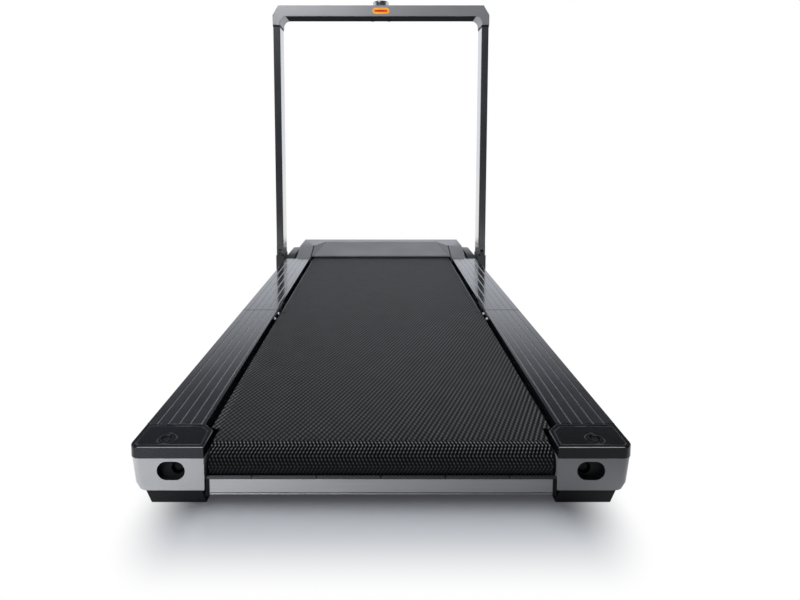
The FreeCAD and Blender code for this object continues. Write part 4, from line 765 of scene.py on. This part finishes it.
# Bright anodised aluminium: pale satin metal with fine lines up its length, drawn 1 mm apart.
bright, shader = new_material("bright_anodised_aluminium", Metallic=1.0)
where = add_node(bright, "TexCoord").outputs["Object"]
along = add_node(bright, "Mapping", {"Scale": (1.0, 1.0, 0.01)}, {"Vector": where})
lines = add_node(bright, "TexNoise", {"Scale": 1000.0, "Detail": 3.0}, {"Vector": along.outputs["Vector"]})
tint = add_node(bright, "ValToRGB", links={"Fac": lines.outputs["Fac"]},
                stops=[(0.3, "#d2d2d1"), (0.7, "#e6e5e3")])
sheen = add_node(bright, "MapRange", {"To Min": 0.22, "To Max": 0.34}, {"Value": lines.outputs["Fac"]})
plug(bright, shader, Base_Color=tint.outputs["Color"], Roughness=sheen.outputs["Result"])
# Painted reflection: a bright strip on each upright's inner face.
for side, way in (("left", 1), ("right", -1)):
    tube_low, tube_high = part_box(side + "_upright")
    inner = tube_high[0] if way == 1 else tube_low[0]
    foot_z = tube_low[2] + INLAY_BORDER
    bpy.ops.object.select_all(action="DESELECT")
    bpy.ops.mesh.primitive_cube_add(
        size=1, scale=(INLAY_THICK, tube_high[1] - tube_low[1] - 2 * INLAY_BORDER, INLAY_TOP - foot_z),
        location=(inner + way * INLAY_THICK / 2, (tube_low[1] + tube_high[1]) / 2,
                  (INLAY_TOP + foot_z) / 2))
    reflection_strip = bpy.context.active_object
    reflection_strip.name = side + "_upright_reflection_strip"
    bpy.ops.object.transform_apply(location=True, rotation=True, scale=True)
    place(soften(reflection_strip, INLAY_THICK * 0.4), "gantry", "gantry_silver", bright)

# Crossbar. An aluminium shell with turned-down ends that slip over the uprights, closed by a cover
# behind and painted silver.
BAR_CORNER = 0.0016

# Silver paint on aluminium: a fine flake, drawn 0.7 mm across, under satin lacquer.
satin, shader = new_material("silver_painted_aluminium", Metallic=0.35)
where = add_node(satin, "TexCoord").outputs["Object"]
flake = add_node(satin, "TexVoronoi", {"Scale": 1500.0}, {"Vector": where})
drift = add_node(satin, "TexNoise", {"Scale": 15.0, "Detail": 3.0}, {"Vector": where})
tint = add_node(satin, "ValToRGB", links={"Fac": flake.outputs["Distance"]},
                stops=[(0.1, "#b6b8bc"), (0.8, "#a6a8ac")])
sheen = add_node(satin, "MapRange", {"To Min": 0.32, "To Max": 0.44}, {"Value": drift.outputs["Fac"]})
plug(satin, shader, Base_Color=tint.outputs["Color"], Roughness=sheen.outputs["Result"])
for node in ("crossbar_shell", "crossbar_back"):
    dress(node, "gantry", "gantry_silver", satin, BAR_CORNER, 3)

# Under-cover of the crossbar. A strip of black felted vinyl let into the bar's underside between its
# ends and glued, with raised borders. The control unit's two screws pass through it.
UNDER_HALF = 0.352
UNDER_Y = (0.4525, 0.5225)
UNDER_THICK = 0.0008
UNDER_BORDER = 0.004
UNDER_SLOPE = 0.0005
UNDER_EDGE = 0.0002
bar_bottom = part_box("control_screws")[1][2]
bpy.ops.object.select_all(action="DESELECT")
bpy.ops.mesh.primitive_cube_add(size=1, location=(0, sum(UNDER_Y) / 2, bar_bottom - UNDER_THICK / 2),
                                scale=(2 * UNDER_HALF, UNDER_Y[1] - UNDER_Y[0], UNDER_THICK))
under = bpy.context.active_object
under.name = "crossbar_under_cover"
bpy.ops.object.transform_apply(location=True, rotation=True, scale=True)
bpy.ops.object.mode_set(mode="EDIT")
select(under, "FACE", lambda c, n: n.z < -0.9)
bpy.ops.mesh.inset(thickness=UNDER_BORDER, depth=0)
bpy.ops.mesh.inset(thickness=UNDER_SLOPE, depth=-UNDER_THICK / 2)
bpy.ops.object.mode_set(mode="OBJECT")

# Black felted vinyl: matt, and dark even at a low angle, with a nap drawn 1 mm across.
felt, shader = new_material("black_felted_vinyl", Specular_IOR_Level=0.05, Roughness=0.9)
where = add_node(felt, "TexCoord").outputs["Object"]
nap = add_node(felt, "TexNoise", {"Scale": 1000.0, "Detail": 3.0}, {"Vector": where})
tint = add_node(felt, "ValToRGB", links={"Fac": nap.outputs["Fac"]},
                stops=[(0.3, "#383a3c"), (0.7, "#464749")])
relief = add_node(felt, "Bump", {"Strength": 0.2, "Distance": 0.0003}, {"Height": nap.outputs["Fac"]})
plug(felt, shader, Base_Color=tint.outputs["Color"], Normal=relief.outputs["Normal"])
place(soften(under, UNDER_EDGE), "gantry", "inner_plastic", felt)

# Joint rings. Collars moulded from black nylon that close the joint between the uprights and the
# crossbar's ends. They are pushed on before the bar.
RING_PROUD = 0.0007
RING_HIGH = 0.0065
RING_EDGE = 0.0002
for side in ("left", "right"):
    tube_low, tube_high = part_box(side + "_upright")
    joint_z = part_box("crossbar_shell")[0][2]
    bpy.ops.object.select_all(action="DESELECT")
    bpy.ops.mesh.primitive_cube_add(
        size=1, scale=(tube_high[0] - tube_low[0], tube_high[1] - tube_low[1], RING_HIGH),
        location=((tube_low[0] + tube_high[0]) / 2, (tube_low[1] + tube_high[1]) / 2,
                  joint_z - RING_HIGH / 2))
    ring = bpy.context.active_object
    ring.name = side + "_joint_ring"
    bpy.ops.object.transform_apply(location=True, rotation=True, scale=True)
    bpy.ops.object.mode_set(mode="EDIT")
    select(ring, "FACE", lambda c, n: abs(n.z) > 0.9)
    bpy.ops.mesh.delete(type="FACE")
    bpy.ops.object.mode_set(mode="OBJECT")
    wall = ring.modifiers.new("Wall", "SOLIDIFY")
    wall.thickness = RING_PROUD
    wall.offset = 1
    wall.use_even_offset = True
    apply_all(ring)
    place(soften(ring, RING_EDGE), "gantry", "inner_plastic", nylon)

# Control screws. Two steel screws with slotted heads, turned and blackened. They hold the control unit
# from below, through the under-cover.
CONTROL_SCREW_EDGE = 0.0004
heads = slotted_heads("control_screws", -1, CONTROL_SCREW_EDGE)
place(heads, "gantry", "black_steel", oxide, "control_screws")

# Display. A pill-shaped rim of amber acrylic let into the bar's front and lit from behind, round a red
# lens. Both are moulded and pressed in.
DISPLAY_EDGE = 0.0006
DISPLAY_GLOW = 0.45
lens_low, lens_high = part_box("display_lens")

# Amber acrylic, lit: warm and nearly even, a little deeper between the small lamps behind it.
amber, shader = new_material("lit_amber_acrylic", Roughness=0.2, IOR=1.49, Emission_Strength=DISPLAY_GLOW)
where = add_node(amber, "TexCoord").outputs["Object"]
glow = add_node(amber, "TexNoise", {"Scale": 90.0, "Detail": 1.0}, {"Vector": where})
tint = add_node(amber, "ValToRGB", links={"Fac": glow.outputs["Fac"]},
                stops=[(0.3, "#ee9a34"), (0.7, "#fbae44")])
plug(amber, shader, Base_Color=tint.outputs["Color"], Emission_Color=tint.outputs["Color"])
dress("display_bezel", "gantry", "display_rim", amber, DISPLAY_EDGE, 3)

# Red acrylic: a lens that glows round its border and stays darker in its middle.
red, shader = new_material("lit_red_acrylic", Roughness=0.12, IOR=1.49, Emission_Strength=DISPLAY_GLOW)
middle = [(a + b) / 2 for a, b in zip(lens_low, lens_high)]
half_size = [(b - a) / 2 for a, b in zip(lens_low, lens_high)]
where = add_node(red, "TexCoord").outputs["Object"]
centred = add_node(red, "Mapping", {"Location": (-middle[0] / half_size[0], 0, -middle[2] / half_size[2]),
                                    "Scale": (1 / half_size[0], 0, 1 / half_size[2])}, {"Vector": where})
off_centre = add_node(red, "VectorMath", links={0: centred.outputs["Vector"]}, operation="LENGTH")
tint = add_node(red, "ValToRGB", links={"Fac": off_centre.outputs["Value"]},
                stops=[(0.35, "#a8331c"), (0.85, "#cf4a28")])
plug(red, shader, Base_Color=tint.outputs["Color"], Emission_Color=tint.outputs["Color"])
dress("display_lens", "gantry", "display_lens", red, DISPLAY_EDGE, 3)

# Speed knob. A turned and chromed knob on a steel stem that slides down to start the belt and turns to
# set its speed.
STEM_EDGE = 0.0004
KNOB_EDGE = 0.0008
dress("knob_stem", "knob_stem", "steel", zinc, STEM_EDGE)

# Polished chrome: a mirror with a cool tint, hazed a little by fingers.
chrome, shader = new_material("polished_chrome", Metallic=1.0)
where = add_node(chrome, "TexCoord").outputs["Object"]
haze = add_node(chrome, "TexNoise", {"Scale": 200.0, "Detail": 3.0}, {"Vector": where})
tint = add_node(chrome, "ValToRGB", links={"Fac": haze.outputs["Fac"]},
                stops=[(0.3, "#c4c6c9"), (0.7, "#d4d6d9")])
sheen = add_node(chrome, "MapRange", {"To Min": 0.06, "To Max": 0.16}, {"Value": haze.outputs["Fac"]})
plug(chrome, shader, Base_Color=tint.outputs["Color"], Roughness=sheen.outputs["Result"])
dress("speed_knob", "speed_knob", "chrome", chrome, KNOB_EDGE, 3)

# Studio floor. White acrylic that mirrors the machine softly, keeps its shadow, and fades to plain white
# beside, before and behind the machine. The machine's own faces see it duller than the camera does.
FLOOR_SIZE = 16
FADE_FROM = (0.25, 0.73, 0.0)
FADE_OVER = (0.10, 0.12, 1.0)
bpy.ops.object.select_all(action="DESELECT")
bpy.ops.mesh.primitive_plane_add(size=FLOOR_SIZE, location=(0, 0, 0))
floor = bpy.context.active_object
floor.name = "studio_floor"
acrylic, shader = new_material("white_acrylic_floor", Roughness=0.5)
shader.inputs["Base Color"].default_value = linear("#ebeef3")
where = add_node(acrylic, "TexCoord").outputs["Object"]
spot = add_node(acrylic, "SeparateXYZ", links={"Vector": where})
rays = add_node(acrylic, "LightPath")
mirror = add_node(acrylic, "BsdfGlossy", {"Roughness": 0.25, "Color": (1, 1, 1, 1)})
near = add_node(acrylic, "MixShader", {0: 0.04}, {1: shader.outputs["BSDF"], 2: mirror.outputs["BSDF"]})
dull_floor = add_node(acrylic, "BsdfDiffuse", {"Color": linear("#4e4e4f")})
onward = add_node(acrylic, "MapRange", {"From Min": -0.80, "From Max": -0.62}, {"Value": spot.outputs["Y"]})
ahead = add_node(acrylic, "Math", links={0: onward.outputs["Result"], 1: rays.outputs["Is Glossy Ray"]},
                 operation="MULTIPLY")
behind = add_node(acrylic, "Math", links={0: rays.outputs["Is Glossy Ray"], 1: ahead.outputs[0]},
                  operation="SUBTRACT")
behind = add_node(acrylic, "Math", {1: 0.5}, {0: behind.outputs[0]}, operation="MULTIPLY")
dull_share = add_node(acrylic, "Math", links={0: rays.outputs["Is Diffuse Ray"], 1: behind.outputs[0]},
                      operation="MAXIMUM")
near = add_node(acrylic, "MixShader", links={0: dull_share.outputs[0], 1: near.outputs["Shader"],
                                             2: dull_floor.outputs["BSDF"]})
away = add_node(acrylic, "VectorMath", links={0: where}, operation="ABSOLUTE")
away = add_node(acrylic, "VectorMath", {1: FADE_FROM}, {0: away.outputs["Vector"]}, operation="SUBTRACT")
away = add_node(acrylic, "VectorMath", {1: (0, 0, 0)}, {0: away.outputs["Vector"]}, operation="MAXIMUM")
away = add_node(acrylic, "VectorMath", {1: FADE_OVER}, {0: away.outputs["Vector"]}, operation="DIVIDE")
away = add_node(acrylic, "VectorMath", links={0: away.outputs["Vector"]}, operation="LENGTH")
fade = add_node(acrylic, "MapRange", links={"Value": away.outputs["Value"]}, interpolation_type="SMOOTHSTEP")
seen = add_node(acrylic, "Math", links={0: rays.outputs["Is Camera Ray"], 1: ahead.outputs[0]},
                operation="MAXIMUM")
share = add_node(acrylic, "Math", links={0: fade.outputs["Result"], 1: seen.outputs[0]},
                 operation="MULTIPLY")
white = add_node(acrylic, "Emission", {"Color": (1, 1, 1, 1), "Strength": 1.0})
lift = add_node(acrylic, "Math", {1: 0.05}, {0: rays.outputs["Is Camera Ray"]}, operation="MULTIPLY")
lift = add_node(acrylic, "Emission", {"Color": linear("#f4f8ff")}, {"Strength": lift.outputs[0]})
near = add_node(acrylic, "AddShader", links={0: near.outputs["Shader"], 1: lift.outputs["Emission"]})
whole = add_node(acrylic, "MixShader", links={0: share.outputs[0], 1: near.outputs["Shader"],
                                              2: white.outputs["Emission"]})
surface = acrylic.node_tree.nodes["Material Output"].inputs["Surface"]
acrylic.node_tree.links.new(whole.outputs["Shader"], surface)
floor.data.materials.append(acrylic)

# Studio room. White where the camera looks, soft white ahead of the machine, and dim overhead and behind
# the camera, so that glossy tops stay dark near the camera and turn bright at a low angle.
world = bpy.data.worlds.new("studio_room")
bpy.context.scene.world = world
world.use_nodes = True
air = world.node_tree.nodes["Background"]
bearing = add_node(world, "SeparateXYZ", links={"Vector": add_node(world, "TexCoord").outputs["Generated"]})
height = add_node(world, "MapRange", {"From Min": 0.27, "From Max": 0.45, "To Min": 1.0, "To Max": 0.06},
                  {"Value": bearing.outputs["Z"]}, interpolation_type="SMOOTHSTEP")
forward = add_node(world, "MapRange", {"From Min": -0.6, "From Max": 0.2, "To Min": 0.08, "To Max": 1.0},
                   {"Value": bearing.outputs["Y"]}, interpolation_type="SMOOTHSTEP")
mirrored = add_node(world, "Math", links={0: height.outputs["Result"], 1: forward.outputs["Result"]},
                    operation="MULTIPLY")
soft = add_node(world, "MapRange", {"From Min": -1.0, "From Max": 1.0, "To Min": 0.02, "To Max": 0.46},
                {"Value": bearing.outputs["Y"]})
rays = add_node(world, "LightPath")
level = add_node(world, "Mix", links={"Factor": rays.outputs["Is Glossy Ray"], "A": soft.outputs["Result"],
                                      "B": mirrored.outputs[0]})
clear = add_node(world, "Math", operation="MAXIMUM",
                 links={0: rays.outputs["Is Camera Ray"], 1: rays.outputs["Is Transmission Ray"]})
level = add_node(world, "Mix", {"B": 1.0}, {"Factor": clear.outputs[0], "A": level.outputs["Result"]})
cast = add_node(world, "ValToRGB", links={"Fac": clear.outputs[0]},
                stops=[(0.0, "#f3f7ff"), (1.0, "#ffffff")])
world.node_tree.links.new(cast.outputs["Color"], air.inputs["Color"])
world.node_tree.links.new(level.outputs["Result"], air.inputs["Strength"])

# Studio lamps. The key stands upper left for the crossbar, a small low one lights the left of the rear
# end, and a wide one hangs overhead. A wide bar draws the lids' rear edges, and one from behind throws
# the shadow. Light linking keeps the two front lamps off the floor, and the low one off the belt too.


def softbox(name, at, aim, size, power):
    """Square area lamp at a place, turned to face a point."""
    lamp = bpy.data.lights.new(name, "AREA")
    lamp.size = size
    lamp.energy = power
    holder = bpy.data.objects.new(name, lamp)
    bpy.context.collection.objects.link(holder)
    holder.location = at
    back = [a - b for a, b in zip(at, aim)]
    flat = math.hypot(back[0], back[1])
    holder.rotation_euler = (math.atan2(flat, back[2]), 0, math.atan2(back[1], back[0]) + math.pi / 2)
    holder.visible_camera = False
    return holder


key_light = softbox("key_light", (-0.9, -1.2, 2.2), (0, 0.45, 0.95), 1.0, 6.0)
key_light.data.spread = math.radians(70)
low_left_light = softbox("low_left_light", (-0.62, -1.15, 0.40), (-0.27, -0.7, 0.045), 0.30, 1.7)
low_left_light.data.spread = math.radians(80)
low_left_light.visible_glossy = False
top_light = softbox("top_light", (0.3, 0.5, 2.6), (0, 0.1, 0), 1.8, 40)
top_light.visible_glossy = False
edge_light = softbox("edge_light", (0, -1.25, 0.85), (0, -0.7, 0.05), 1.7, 26)
edge_light.data.shape = "RECTANGLE"
edge_light.data.size_y = 0.6
edge_light.visible_diffuse = False
back_light = softbox("back_light", (0, 3.0, 0.9), (0, -0.7, 0), 2.2, 80)
back_light.visible_glossy = False
for lamp, unlit in ((key_light, [floor]), (low_left_light, [floor, belt])):
    group = bpy.data.collections.new("kept_from_" + lamp.name)
    for piece in unlit:
        group.objects.link(piece)
    for entry in group.collection_objects:
        entry.light_linking.link_state = "EXCLUDE"
    lamp.light_linking.receiver_collection = group
group = bpy.data.collections.new("lit_by_edge_lamp")
for node in ("cap_lids", "cap_screws"):
    group.objects.link(bpy.data.objects[node + "_finish"])
edge_light.light_linking.receiver_collection = group

# Camera. It stands behind the machine at knee height and looks along the belt, tilted down a little. The
# lens is shifted, so that the uprights stay nearly parallel.
PHOTO_WIDTH = 800
FOCAL_PIXELS = 504
SENSOR_WIDTH = 36
CAMERA_AT = (0, -1.3644, 0.4968)
CAMERA_TILT = 4.478
CAMERA_SHIFT = (0.0238, -0.144)
camera = bpy.data.cameras.new("photo_camera")
camera.sensor_width = SENSOR_WIDTH
camera.lens = SENSOR_WIDTH * FOCAL_PIXELS / PHOTO_WIDTH
camera.shift_x, camera.shift_y = CAMERA_SHIFT
stand = bpy.data.objects.new("photo_camera", camera)
bpy.context.collection.objects.link(stand)
stand.location = CAMERA_AT
stand.rotation_euler = (math.radians(90 - CAMERA_TILT), 0, 0)
bpy.context.scene.camera = stand
bpy.context.scene.view_settings.view_transform = "Standard"
